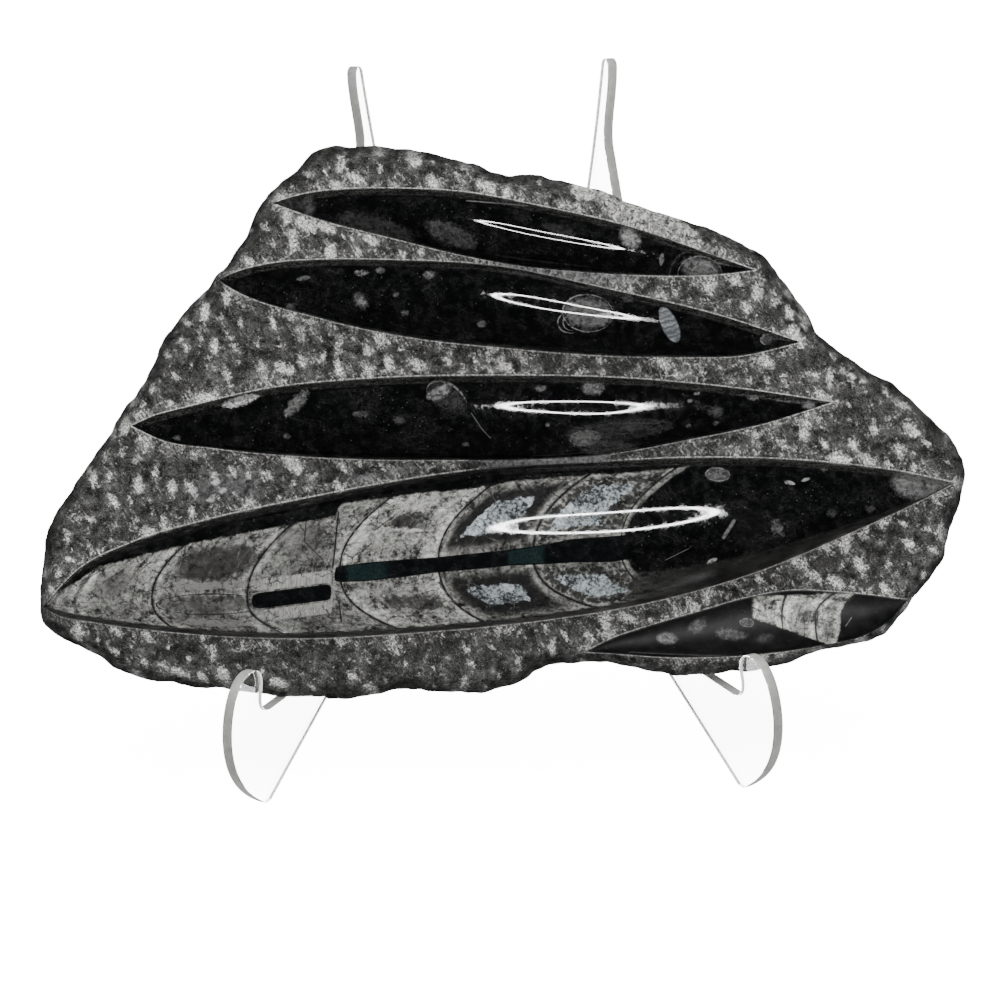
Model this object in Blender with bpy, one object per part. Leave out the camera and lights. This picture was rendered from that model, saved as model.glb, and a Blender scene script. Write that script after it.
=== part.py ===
# A carved orthoceras fossil slab leaning in a folded clear acrylic easel.
# Lengths in the driving values are millimetres; the meshes are in metres, +Z up, face towards -Y.
# The origin is the middle of the bounding box's floor.

import math

import bpy
import numpy as np
from mathutils.geometry import delaunay_2d_cdt

MM = 0.001
SEED = 7

# ---- how the slab stands ----
LEAN_DEG = 17.0  # the slab's face from vertical
FACE_CENTRE = (0.0, 23.9, 93.6)  # where the face's own (0, 0) stands, before the final centring
GAP = 0.3  # kept between touching pieces

# ---- the slab ----
SLAB_THICKNESS = 18.0  # tooled ground to sawn back
RIM_WIDTH = 4.4
RIM_DROP = 5.0
RIM_ROUGHNESS = 0.8
SIDE_STEP = 4.4  # longest run between points of the broken edge
GROUND_STEP = 3.1  # between chisel points
GROUND_CLEARANCE = 1.7  # chisel points stay this far from a carved form
CHISEL_LOW, CHISEL_HIGH = -0.9, 0.35
SADDLE = {"centre": (10.0, -3.7), "reach": (24.0, 3.4), "height": 1.8}  # where forms 3 and 4 meet

# The broken outline of the slab's face, clockwise from the top left.
SLAB_OUTLINE = (
    (-50, 86), (-43, 87.5), (-39, 86.5), (-34, 87), (-25, 86), (-15, 84), (-8, 82), (2.5, 77.5),
    (11.5, 77.5), (28, 73.5), (38, 68.5), (64, 59.5), (74, 54), (78, 50.5), (88.5, 35), (91, 29),
    (96, 25), (109, 17), (117, 10), (126, 1), (130.5, -5), (131.5, -9), (131, -14.5), (125, -29.5),
    (124.5, -34.5), (118.5, -42.5), (115, -46.5), (111.5, -51), (106, -56.5), (92.5, -59.5),
    (88, -59.5), (81.5, -62), (74.5, -63.5), (60, -65.5), (46.5, -65.5), (35.5, -62.5),
    (29, -61), (16.5, -60.5), (10, -62), (5.5, -65), (-6.5, -68.5), (-16, -68), (-30.5, -67),
    (-43.5, -69.5), (-54, -69), (-65.5, -68), (-81.5, -64.5), (-85.5, -65), (-105.5, -61),
    (-112, -57), (-121, -51.5), (-126.5, -49), (-131, -45), (-131.5, -40), (-129.5, -24),
    (-128, -16), (-118.5, -4), (-109.5, 9.5), (-98, 25), (-96, 30.5), (-93, 36), (-81.5, 47.5),
    (-79.5, 51), (-75, 54.5), (-69, 63), (-67, 69.5), (-61.5, 76), (-54, 81.5),
)  # fmt: skip

# Each carved form: its two points, the edge above and below between them, and the number of
# stations along it and of rows across it. Its height follows its width (swell) and rises to the right
# (skew); a low power gives steep flanks under a flat top, and crest shifts the top line across.
FORMS = {
    "top": {
        "points": ((-61.5, 71), (73, 48)),
        "upper": ((-52, 73.3), (-41, 74.2), (-27.5, 74), (-5.5, 72), (12.5, 68), (38, 61.3), (64, 51.5)),
        "lower": ((-50, 66.5), (-28, 60), (-6, 54), (7.5, 51.2), (21, 49.4), (37.5, 47.8), (64, 47.2)),
        "height": 5.1, "swell": 1.15, "skew": -0.09, "power": 0.81,
        "crest": ((-61.5, 0), (0, 0), (35, -0.12), (73, 0)),
        "stations": 34,
        "rows": 5,
    },
    "second": {
        "points": ((-77.5, 50), (85, 27.5)),
        "upper": ((-73, 51.8), (-62, 54.2), (-49, 54.8), (-31, 54.2), (1.5, 51.3), (30, 44.5), (64, 35.2)),
        "lower": ((-74, 47.7), (-49.5, 38.5), (-23, 32), (1, 28.6), (28, 25.6), (54, 24.2), (68, 24.2)),
        "height": 6.9, "swell": 1.33, "skew": 0.3, "power": 0.42,
        "crest": ((-77.5, 0), (-30, 0.08), (10, 0.01), (40, 0.05), (85, 0)),
        "stations": 38,
        "rows": 5,
    },
    "third": {
        "points": ((-103, 10), (93.5, 10.5)),
        "upper": ((-97, 12.5), (-88, 14.6), (-63.5, 19.4), (-41, 21), (0, 20.9), (36, 19), (67, 15.2)),
        "lower": ((-94, 5.6), (-80, 3), (-42, -1.2), (-14, -2.4), (8, -2.9), (28, -2.3), (54, 1.4), (76, 5.5)),
        "height": 6.1, "swell": 1.27, "skew": 0.12, "power": 0.48,
        "crest": ((-103, 0), (-40, -0.03), (0, -0.02), (40, -0.16), (93.5, 0)),
        "stations": 46,
        "rows": 5,
    },
    "largest": {
        "points": ((-129.5, -40), (127, -13.2)),
        "upper": ((-120, -30.4), (-104, -22.6), (-83, -17), (-54, -11.6), (-22, -6.8), (2, -4.6),
                  (26, -4.1), (56, -3.8), (92, -6.3), (114, -9.9)),
        "lower": ((-125, -42.4), (-115, -44.7), (-88, -48.8), (-58, -51), (-23, -50.3), (9, -48.2),
                  (41, -43.9), (70, -36.6), (99, -25.6), (116, -18.4)),
        "height": 13.7, "swell": 0.56, "skew": -0.07, "power": 0.53,
        "crest": ((-129.5, 0), (-40, 0.09), (5, -0.06), (35, -0.17), (60, -0.22), (90, -0.34), (127, 0)),
        "stations": 58,
        "rows": 7,
    },
    "cut": {
        "points": ((22, -57.3), (113, -45.6)),
        "upper": ((29, -54), (39, -50.9), (54.5, -46.9), (68, -43.5), (80, -41.9), (92, -42.6), (103, -43.9)),
        "lower": ((30, -58.1), (48, -59.7), (60, -59.9), (74, -59.3), (91, -57.3), (101, -55), (108, -50.8)),
        "height": 6.0, "swell": 0.8, "skew": 0.0, "power": 0.6,
        "crest": ((22, 0), (113, 0)),
        "stations": 26,
        "rows": 5,
    },
}  # fmt: skip

# ---- the easel ----
SHEET = 3.0  # thickness
EASEL_X = -1.7  # the easel's middle, seen from the slab's own middle
WING_SPLAY_DEG = 25.0  # each wing from straight back
HALF_SPREAD = 67.3  # from the middle to a wing's plane, level with the feet
BEND_RADIUS = 8.0  # of the sheet's middle
BEND_STEPS = 5  # on each side of the fold's middle
CRADLE_FLOOR = 27.0  # above the table
SUPPORT_TOP = 171.0  # the arms follow the slab's back up to here
ARM_TOP = 196.0
FOLD_TOP = 64.0
ARCH_RISE = 25.0
TOE = (-2.2, 0)
# The hook from its toe round to the cradle, as curves: two leads, the end, and the points between.
HOOK = (
    ((-12, 6.5), (-18.6, 14), (-18.3, 24.8), 5),
    ((-18, 33), (-13.5, 40.9), (-6.3, 41.2), 5),
    ((-2.2, 41.2), (0.2, 39), (-0.1, 35.8), 3),
    ((-0.3, 33.8), (-1.6, 32), (-1.2, 30), 2),
    ((-0.8, 27.9), (0.4, CRADLE_FLOOR), (2.4, CRADLE_FLOOR), 2),
)

COLOURS = {
    "limestone": {"colour": (0.045, 0.045, 0.046, 1), "roughness": 0.35},
    "clear_acrylic": {"colour": (0.9, 0.94, 0.94, 1), "roughness": 0.04},
}

lean = math.radians(LEAN_DEG)
splay = math.radians(WING_SPLAY_DEG)
chance = np.random.default_rng(SEED)


def on_face(u, v, w):
    """A point of the slab's own frame (right, up the face, out of the face) where it stands."""
    x0, y0, z0 = FACE_CENTRE
    return (
        x0 + u,
        y0 + v * math.sin(lean) - w * math.cos(lean),
        z0 + v * math.cos(lean) + w * math.sin(lean),
    )


def smooth(points, x):
    """A smooth curve through points of rising x, read at x."""
    xs, ys = np.array(points, float).T
    slopes = np.gradient(ys, xs)
    i = np.clip(np.searchsorted(xs, x) - 1, 0, len(xs) - 2)
    run = xs[i + 1] - xs[i]
    t = (x - xs[i]) / run
    start, end = slopes[i] * run, slopes[i + 1] * run
    rise = ys[i + 1] - ys[i]
    return ys[i] + t * (start + t * (3 * rise - 2 * start - end + t * (start + end - 2 * rise)))


def distance_to(points, line, closed=True):
    """How far each point is from a run of straight pieces."""
    points, line = np.array(points, float), np.array(line, float)
    starts = line if closed else line[:-1]
    ends = np.roll(line, -1, axis=0) if closed else line[1:]
    best = np.full(len(points), np.inf)
    for a, b in zip(starts, ends):
        along = b - a
        t = np.clip((points - a) @ along / max(along @ along, 1e-9), 0, 1)
        best = np.minimum(best, np.hypot(*(points - a - t[:, None] * along).T))
    return best


def inside(points, loop):
    """Which points lie inside a closed loop."""
    points, loop = np.array(points, float), np.array(loop, float)
    within = np.zeros(len(points), bool)
    for (x1, y1), (x2, y2) in zip(loop, np.roll(loop, -1, axis=0)):
        if y1 != y2:
            crosses = (y1 > points[:, 1]) != (y2 > points[:, 1])
            within ^= crosses & (points[:, 0] < (x2 - x1) * (points[:, 1] - y1) / (y2 - y1) + x1)
    return within


def filled(points, edges, loop):
    """Triangles between the points, inside the loop: the points, the triangles and each one's source."""
    points = [tuple(map(float, p)) for p in points]
    flat, _, faces, origins, *_ = delaunay_2d_cdt(points, edges, [], 0, 1e-3, True)
    flat = np.array([tuple(p) for p in flat])
    faces = np.array([tuple(f) for f in faces])
    faces = faces[inside(flat[faces].mean(axis=1), loop)]
    return flat, [tuple(map(int, f)) for f in faces], origins


def broken_edge(corners):
    """The outline with points added along its longer runs, each a little off the straight."""
    points = []
    for (x1, y1), (x2, y2) in zip(corners, corners[1:] + corners[:1]):
        length = math.hypot(x2 - x1, y2 - y1)
        pieces = max(1, round(length / SIDE_STEP))
        for i in range(pieces):
            out = chance.uniform(-0.35, 0.35) if i else 0
            t = i / pieces
            points.append((x1 + (x2 - x1) * t - out * (y2 - y1) / length,
                           y1 + (y2 - y1) * t + out * (x2 - x1) / length))  # fmt: skip
    return points


def outward(loop):
    """The unit normals of a clockwise loop, pointing out of it."""
    loop = np.array(loop, float)
    along = np.roll(loop, -1, axis=0) - np.roll(loop, 1, axis=0)
    along /= np.hypot(*along.T)[:, None]
    return np.stack([-along[:, 1], along[:, 0]], axis=1)


def form_edges(form, u):
    """The lower and the upper edge of a carved form at u."""
    left, right = form["points"]
    return smooth((left, *form["lower"], right), u), smooth((left, *form["upper"], right), u)


def form_stations(form):
    """Places along a form, closer together towards its points."""
    (u1, _), (u2, _) = form["points"]
    t = np.linspace(0, 1, form["stations"] + 1)[1:-1]
    t = t - 0.09 * np.sin(2 * math.pi * t)
    return u1 + (u2 - u1) * t


def form_outline(form):
    """Clockwise: left point, upper edge, right point, lower edge."""
    u = form_stations(form)
    low, high = form_edges(form, u)
    left, right = form["points"]
    return [left, *zip(u, high), right, *zip(u[::-1], low[::-1])]


def form_height(form, u, v):
    """How far the carved form stands above the ground."""
    (u1, _), (u2, _) = form["points"]
    u = np.clip(u, u1, u2)
    low, high = form_edges(form, u)
    half = np.maximum((high - low) / 2, 1e-6)
    widest = max(b - a for a, b in zip(*form_edges(form, form_stations(form)))) / 2
    top_line = form["height"] * (half / widest) ** form["swell"]
    top_line = top_line * (1 + form["skew"] * (2 * u - u1 - u2) / (u2 - u1))
    crest = smooth(form["crest"], u)
    across = np.clip((v - (low + high) / 2) / half, -1, 1) - crest
    across = across / np.where(across > 0, 1 - crest, 1 + crest)
    return top_line * (1 - across**2) ** form["power"]


def saddle(u, v):
    (u0, v0), (ru, rv) = SADDLE["centre"], SADDLE["reach"]
    return SADDLE["height"] * np.exp(-(((u - u0) / ru) ** 2) - ((v - v0) / rv) ** 2)


def rim_drop(distance):
    return RIM_DROP * np.clip(1 - distance / RIM_WIDTH, 0, 1) ** 1.4


def chisel_points(outline, forms):
    """Staggered, jittered places over the ground, clear of the forms and of the outline."""
    row = GROUND_STEP * math.sqrt(3) / 2
    spots = []
    for j in range(-27, 34):
        for i in range(-45, 45):
            spots.append(((i + 0.5 * (j % 2)) * GROUND_STEP, j * row))
    spots = np.array(spots) + chance.uniform(-0.7, 0.7, (len(spots), 2))
    spots = spots[inside(spots, outline)]
    spots = spots[distance_to(spots, outline) > 2.0]
    for form in forms:
        loop = form_outline(form)
        spots = spots[~inside(spots, loop)]
        spots = spots[distance_to(spots, loop) > GROUND_CLEARANCE]
    return spots


def seat(loop, w, rest):
    """Trims the slab's underside level where the cradles carry it."""
    over_floor = CRADLE_FLOOR + GAP - FACE_CENTRE[2]
    level = (over_floor - w * math.sin(lean)) / math.cos(lean)
    over_cradle = (loop[:, 1] < -50) & (np.abs(np.abs(loop[:, 0] - EASEL_X) - 62) < 12)
    lowest = np.where(rest, level, np.maximum(loop[:, 1], level))
    loop[:, 1] = np.where(over_cradle, lowest, loop[:, 1])


def fossil_slab():
    """The carved face, the chipped sides and the sawn back, as one closed mesh."""
    outline = broken_edge(list(SLAB_OUTLINE))
    count = len(outline)
    points = list(outline)
    edges = [(i, (i + 1) % count) for i in range(count)]
    for form in FORMS.values():
        first = len(points)
        loop = form_outline(form)
        points += loop
        edges += [(first + i, first + (i + 1) % len(loop)) for i in range(len(loop))]
        u = form_stations(form)
        low, high = form_edges(form, u)
        rows = np.sin(np.linspace(-1, 1, form["rows"] + 2)[1:-1] * 1.2) / math.sin(1.2)
        for across in rows * 0.97:
            points += list(zip(u, (low + high) / 2 + across * (high - low) / 2))
    chiselled = len(points)
    points += list(chisel_points(outline, FORMS.values()))

    flat, faces, origins = filled(points, edges, outline)
    height = saddle(*flat.T) - rim_drop(distance_to(flat, outline))
    for form in FORMS.values():
        height += np.where(inside(flat, form_outline(form)), form_height(form, *flat.T), 0)
    on_edge = [-1] * count
    for i, origin in enumerate(origins):
        if origin and min(origin) >= chiselled:
            height[i] += chance.uniform(CHISEL_LOW, CHISEL_HIGH)
        for place in origin:
            if place < count:
                on_edge[place] = i
                height[i] += chance.uniform(-RIM_ROUGHNESS, RIM_ROUGHNESS)
                flat[i, 1] = seated_edge(flat[i], height[i])

    verts = [on_face(*p, h) for p, h in zip(flat, height)]
    edge_loop = flat[on_edge]
    normals = outward(outline)
    above = on_edge
    chips = np.repeat(chance.uniform(-1.1, 0.7, count // 4 + 1), 4)[:count]
    rings = (  # depth, how far out of the face's outline, unevenness, whether it rests in the cradles
        (-9.5, 0.1 + chips, 1.0, False),
        (-15.0, -0.9 + 0.6 * np.roll(chips, 2), 0.8, True),
        (-SLAB_THICKNESS, -2.4 + 0.3 * chips, 0.0, True),
    )
    for depth, out, uneven, rest in rings:
        w = depth + uneven * chance.uniform(-1, 1, count)
        loop = edge_loop + normals * (out + 0.3 * uneven * chance.uniform(-1, 1, count))[:, None]
        seat(loop, w, rest)
        ring = list(range(len(verts), len(verts) + count))
        verts += [on_face(*p, d) for p, d in zip(loop, w)]
        for i in range(count):
            j = (i + 1) % count
            faces += [(above[i], above[j], ring[j]), (above[i], ring[j], ring[i])]
        above = ring

    _, back_faces, origins = filled(loop, edges[:count], loop)
    place = [above[min(o)] for o in origins]
    faces += [tuple(place[i] for i in reversed(f)) for f in back_faces]
    return verts, faces


def seated_edge(point, w):
    """The height up the face at which an outline point clears the cradle's floor."""
    loop = np.array([point])
    seat(loop, np.array([w]), False)
    return loop[0, 1]


# ---- the easel's flat pattern: s runs back from the feet, z up ----

bend_start = (HALF_SPREAD - BEND_RADIUS * math.cos(splay)) / math.sin(splay)
half_bend = BEND_RADIUS * (math.pi / 2 - splay)
fold = bend_start + half_bend


def arc(centre, radius, start_deg, end_deg, steps):
    angles = np.radians(np.linspace(start_deg, end_deg, steps + 1))
    return [(centre[0] + radius * math.cos(a), centre[1] + radius * math.sin(a)) for a in angles]


def bow(start, lead, trail, end, steps):
    """A cubic curve's points, without its two ends."""
    t = np.linspace(0, 1, steps + 2)[1:-1, None]
    a, b, c, d = (np.array(p, float) for p in (start, lead, trail, end))
    curve = a * (1 - t) ** 3 + 3 * b * t * (1 - t) ** 2 + 3 * c * t**2 * (1 - t) + d * t**3
    return [tuple(p) for p in curve]


def support(z):
    """Where an arm's front edge clears the slab's back at height z."""
    x0, y0, z0 = FACE_CENTRE
    w = -SLAB_THICKNESS - GAP
    v = (z - z0 - w * math.sin(lean)) / math.cos(lean)
    back = y0 + v * math.sin(lean) - w * math.cos(lean)
    return (back + SHEET / 2 * math.sin(splay)) / math.cos(splay)


def wing_pattern():
    """One wing of the flat pattern, from the fold's bottom round the foot, hook and arm to its top."""
    rear_foot = fold - half_bend - 6
    arm_foot = (support(SUPPORT_TOP), SUPPORT_TOP)
    tip = (arm_foot[0] - 0.6, ARM_TOP - 2.4)
    pattern = [(rear_foot, 0)]
    pattern += bow((rear_foot, 0), (rear_foot - 22, ARCH_RISE * 1.35), (62, ARCH_RISE * 1.21), (40, 19.8), 7)
    pattern += [(40, 19.8), (1.6, 0.7), (0.3, 0), TOE]
    for lead, trail, end, steps in HOOK:
        pattern += [*bow(pattern[-1], lead, trail, end, steps), end]
    pattern += [(support(CRADLE_FLOOR), CRADLE_FLOOR)]
    pattern += [arm_foot]
    pattern += bow(arm_foot, (arm_foot[0] + 1.6, 177), (tip[0] - 2.4, 186), (tip[0] - 2.3, tip[1]), 2)
    pattern += arc(tip, 2.3, 180, 20, 4)
    pattern += bow((tip[0] + 2.2, tip[1] + 0.8), (tip[0] + 12, 150), (fold - 42, FOLD_TOP + 22),
                   (fold - half_bend, FOLD_TOP), 8)  # fmt: skip
    return pattern


def easel():
    """The flat pattern, folded at its middle and given the sheet's thickness."""
    wing = wing_pattern()
    columns = np.linspace(fold - half_bend, fold, BEND_STEPS + 1)
    left = [(s - fold, z) for s, z in wing]
    top = [(s - fold, FOLD_TOP) for s in columns]
    top += [(-q, z) for q, z in top[-2::-1]]
    foot = [(-q, 0) for q, _ in top]
    right = [(-q, z) for q, z in left[::-1]]
    outline = left + top + right + foot
    count = len(outline)
    edges = [(i, (i + 1) % count) for i in range(count)]
    top_first, foot_first = len(left), len(left + top + right)
    edges += [(top_first + i, foot_first + len(top) - 1 - i) for i in range(len(top))]
    flat, faces, origins = filled(outline, edges, outline)
    loop = [0] * count
    for i, origin in enumerate(origins):
        for place in origin:
            loop[place] = i

    def folded(q, z, out):
        side = -1 if q < 0 else 1
        s = fold - abs(q)
        if s <= bend_start:
            turn, x, y = splay, HALF_SPREAD - s * math.sin(splay), s * math.cos(splay)
            reach = out
        else:
            turn = splay + (s - bend_start) / BEND_RADIUS
            x, y = 0, bend_start * math.cos(splay) - BEND_RADIUS * math.sin(splay)
            reach = BEND_RADIUS + out
        return EASEL_X + side * (x + reach * math.cos(turn)), y + reach * math.sin(turn), z

    outer = [folded(*p, SHEET / 2) for p in flat]
    inner = [folded(*p, -SHEET / 2) for p in flat]
    size = len(outer)
    solid = [tuple(reversed(f)) for f in faces] + [tuple(i + size for i in f) for f in faces]
    for a, b in zip(loop, loop[1:] + loop[:1]):
        solid += [(b, a, a + size), (b, a + size, b + size)]
    return outer + inner, solid


def material(name):
    made = bpy.data.materials.new(name)
    made.use_nodes = True
    shader = made.node_tree.nodes["Principled BSDF"]
    shader.inputs["Base Color"].default_value = COLOURS[name]["colour"]
    shader.inputs["Roughness"].default_value = COLOURS[name]["roughness"]
    shader.inputs["Metallic"].default_value = 0.0
    made.diffuse_color = COLOURS[name]["colour"]
    return made


def add(name, verts, faces, shift, made):
    mesh = bpy.data.meshes.new(name)
    mesh.from_pydata([tuple((np.array(v) + shift) * MM) for v in verts], [], faces)
    mesh.validate()
    mesh.materials.append(made)
    piece = bpy.data.objects.new(name, mesh)
    bpy.context.scene.collection.objects.link(piece)
    return piece


for old in list(bpy.data.objects):
    bpy.data.objects.remove(old, do_unlink=True)

slab, stand = fossil_slab(), easel()
everything = np.array(slab[0] + stand[0])
low, high = everything.min(axis=0), everything.max(axis=0)
shift = -np.array([(low[0] + high[0]) / 2, (low[1] + high[1]) / 2, low[2]])
add("fossil_slab", *slab, shift, material("limestone"))
add("easel", *stand, shift, material("clear_acrylic"))
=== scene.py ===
import math

import bpy
import numpy as np
from mathutils import Euler, Matrix, Vector, noise
from mathutils.geometry import delaunay_2d_cdt


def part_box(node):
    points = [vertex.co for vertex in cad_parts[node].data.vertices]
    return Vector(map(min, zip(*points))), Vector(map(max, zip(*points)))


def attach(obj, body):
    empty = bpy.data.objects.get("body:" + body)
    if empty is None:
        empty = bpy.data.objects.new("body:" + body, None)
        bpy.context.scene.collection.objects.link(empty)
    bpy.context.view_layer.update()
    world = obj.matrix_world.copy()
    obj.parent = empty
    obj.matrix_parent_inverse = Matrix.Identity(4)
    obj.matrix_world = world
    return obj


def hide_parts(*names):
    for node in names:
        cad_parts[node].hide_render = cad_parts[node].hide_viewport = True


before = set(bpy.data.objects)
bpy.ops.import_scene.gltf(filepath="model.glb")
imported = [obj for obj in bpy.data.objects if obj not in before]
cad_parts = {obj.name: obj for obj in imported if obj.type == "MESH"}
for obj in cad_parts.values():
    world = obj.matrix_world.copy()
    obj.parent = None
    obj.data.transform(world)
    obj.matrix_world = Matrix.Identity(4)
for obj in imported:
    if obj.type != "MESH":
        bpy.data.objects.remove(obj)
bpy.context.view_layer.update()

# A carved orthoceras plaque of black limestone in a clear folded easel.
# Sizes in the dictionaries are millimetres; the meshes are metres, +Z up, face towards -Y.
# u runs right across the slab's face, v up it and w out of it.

mm = 0.001

standing = {
    "lean": 17.0,  # the face from vertical, in degrees
    "centre": (-0.021, -34.938, 93.6),  # where the face's (0, 0) stands
}
lean = math.radians(standing["lean"])


def onFace(u, v, w):
    x, y, z = standing["centre"]
    return np.stack([
        x + u,
        y + v * math.sin(lean) - w * math.cos(lean),
        z + v * math.cos(lean) + w * math.sin(lean),
    ], axis=-1)


# Helpers for node trees: newTree and newMaterial put a tree on the bench, and the others add to it.

bench = {"tree": None}


class Wire:
    # an output of a node, which can be added, multiplied and so on
    def __init__(self, socket):
        self.socket = socket


def pick(sockets, key):
    # several sockets may share a name, and only one of them is in use
    if isinstance(key, int):
        return sockets[key]
    return next(s for s in sockets if s.name == key and s.enabled)


def feed(made, values):
    # gives a node's inputs their wires and plain values
    for key, value in values.items() if isinstance(values, dict) else enumerate(values):
        if isinstance(value, Wire):
            bench["tree"].links.new(value.socket, pick(made.inputs, key))
        else:
            pick(made.inputs, key).default_value = value


def node(kind, inputs=(), **settings):
    made = bench["tree"].nodes.new(kind)
    for name, value in settings.items():
        setattr(made, name, value)
    feed(made, inputs)
    return made


def wires(made):
    return {s.name: Wire(s) for s in made.outputs if s.enabled}


def put(kind, inputs=(), output=0, **settings):
    return Wire(pick(node(kind, inputs, **settings).outputs, output))


def sums(operation, *values, clamp=False):
    return put("ShaderNodeMath", values, operation=operation, use_clamp=clamp)


for symbol, sign in (("add", "ADD"), ("sub", "SUBTRACT"), ("mul", "MULTIPLY"), ("truediv", "DIVIDE")):
    setattr(Wire, f"__{symbol}__", lambda first, second, sign=sign: sums(sign, first, second))
    setattr(Wire, f"__r{symbol}__", lambda second, first, sign=sign: sums(sign, first, second))
Wire.__abs__ = lambda wire: sums("ABSOLUTE", wire)


def scaled(value, by, added):
    return sums("MULTIPLY_ADD", value, by, added)


def vectors(operation, *values):
    output = int(operation in ("DOT_PRODUCT", "LENGTH"))
    return put("ShaderNodeVectorMath", values, output, operation=operation)


def stretched(vector, by):
    return put("ShaderNodeVectorMath", {0: vector, "Scale": by}, operation="SCALE")


def rotated(vector, turn):
    # a vector as seen from axes turned about Z
    return put("ShaderNodeVectorRotate", {"Vector": vector, "Angle": turn * -1.0}, rotation_type="Z_AXIS")


def clouds(place, scale, detail, rough=0.5, distortion=0.0):
    return put("ShaderNodeTexNoise", {"Vector": place, "Scale": scale, "Detail": detail, "Roughness": rough,
                                      "Distortion": distortion})


def between(value, low, high, start=0.0, end=1.0):
    # a soft step of value from low to high
    return put("ShaderNodeMapRange", (value, low, high, start, end), interpolation_type="SMOOTHSTEP")


def straight(value, low, high, start, end):
    return put("ShaderNodeMapRange", (value, low, high, start, end))


def blendOf(amount, first, second):
    return put("ShaderNodeMix", {0: amount, 6: first, 7: second}, 2, data_type="RGBA")


def tinted(value, blue, red=1.0):
    # a grey of this brightness, its blue and red parts scaled
    return put("ShaderNodeCombineColor", (value * red, value, value * blue))


def grey(value, warm=0.0):
    return (value * (1 + warm), value, value * (1 - warm), 1.0)


def newTree(name, kind, inputs, outputs):
    tree = bench["tree"] = bpy.data.node_groups.new(name, kind)
    for direction, sockets in (("INPUT", inputs), ("OUTPUT", outputs)):
        for label, socketType, *value in sockets:
            made = tree.interface.new_socket(label, in_out=direction, socket_type=socketType)
            if value:
                made.default_value = value[0]
    return wires(node("NodeGroupInput"))


def finishTree(**results):
    feed(node("NodeGroupOutput"), results)
    return bench["tree"]


def use(group, **values):
    return wires(node(bench["tree"].bl_idname.replace("Tree", "Group"), values, node_tree=group))


def newMaterial(name):
    made = bpy.data.materials.new(name)
    made.use_nodes = True
    bench["tree"] = made.node_tree
    return made, made.node_tree.nodes["Principled BSDF"]


def attribute(name, output="Fac"):
    return put("ShaderNodeAttribute", output=output, attribute_name=name)


def bump(height, strength, distance):
    return put("ShaderNodeBump", {"Height": height, "Strength": strength, "Distance": distance * mm})


decimal, triple, shape = "NodeSocketFloat", "NodeSocketVector", "NodeSocketGeometry"
matter, whole = "NodeSocketMaterial", "NodeSocketInt"


# the camera

cameraView = {
    "target": (-0.46, -39.02, 80.22),
    "elevation": 18.0,
    "distance": 600.0,
    "roll": -1.8,
    "lens": 77.15,
}


def placeCamera(view):
    data = bpy.data.cameras.new("camera")
    data.lens, data.sensor_width = view["lens"], 36.0
    data.clip_start, data.clip_end = 0.02, 30.0
    camera = bpy.data.objects.new("camera", data)
    bpy.context.scene.collection.objects.link(camera)
    up = math.radians(view["elevation"])
    away = Vector((0, -math.cos(up), math.sin(up))) * view["distance"]
    turn = Euler((math.pi / 2 - up, 0, 0)).to_matrix() @ Matrix.Rotation(math.radians(view["roll"]), 3, "Z")
    camera.matrix_world = Matrix.Translation((Vector(view["target"]) + away) * mm) @ turn.to_4x4()
    bpy.context.scene.camera = camera


placeCamera(cameraView)
print("camera placed")


# the slab's outline and carved forms

slab = {
    "seed": 7,
    "thickness": 18.0,
    "rimWidth": 4.4,
    "rimDrop": 5.0,
    "saddle": {"between": ("third", "largest"), "centre": (10.0, -3.7), "reach": (24.0, 3.4), "height": 1.8,
               "polished": (-10.0, 36.0)},
    "edgeStep": 0.95,  # along the broken outline
    "groundStep": 0.74,
    "collar": 0.45,  # a row of points this far outside each carved form
    "backStep": 3.2,
    "sideRings": 14,
    "edgeWander": 0.42,
    "outline": (
        (-50, 86), (-43, 87.5), (-39, 86.5), (-34, 87), (-25, 86), (-15, 84), (-8, 82), (2.5, 77.5),
        (11.5, 77.5), (28, 73.5), (38, 68.5), (64, 59.5), (74, 54), (78, 50.5), (88.5, 35), (91, 29),
        (96, 25), (109, 17), (117, 10), (126, 1), (130.5, -5), (131.5, -9), (131, -14.5), (125, -29.5),
        (124.5, -34.5), (118.5, -42.5), (115, -46.5), (111.5, -51), (106, -56.5), (92.5, -59.5),
        (88, -59.5), (81.5, -62), (74.5, -63.5), (60, -65.5), (46.5, -65.5), (35.5, -62.5),
        (29, -61), (16.5, -60.5), (10, -62), (5.5, -65), (-6.5, -68.5), (-16, -68), (-30.5, -67),
        (-43.5, -69.5), (-54, -69), (-65.5, -68), (-81.5, -64.5), (-85.5, -65), (-105.5, -61),
        (-112, -57), (-121, -51.5), (-126.5, -49), (-131, -45), (-131.5, -40), (-129.5, -24),
        (-128, -16), (-118.5, -4), (-109.5, 9.5), (-98, 25), (-96, 30.5), (-93, 36), (-81.5, 47.5),
        (-79.5, 51), (-75, 54.5), (-69, 63), (-67, 69.5), (-61.5, 76), (-54, 81.5),
    ),
}

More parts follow.
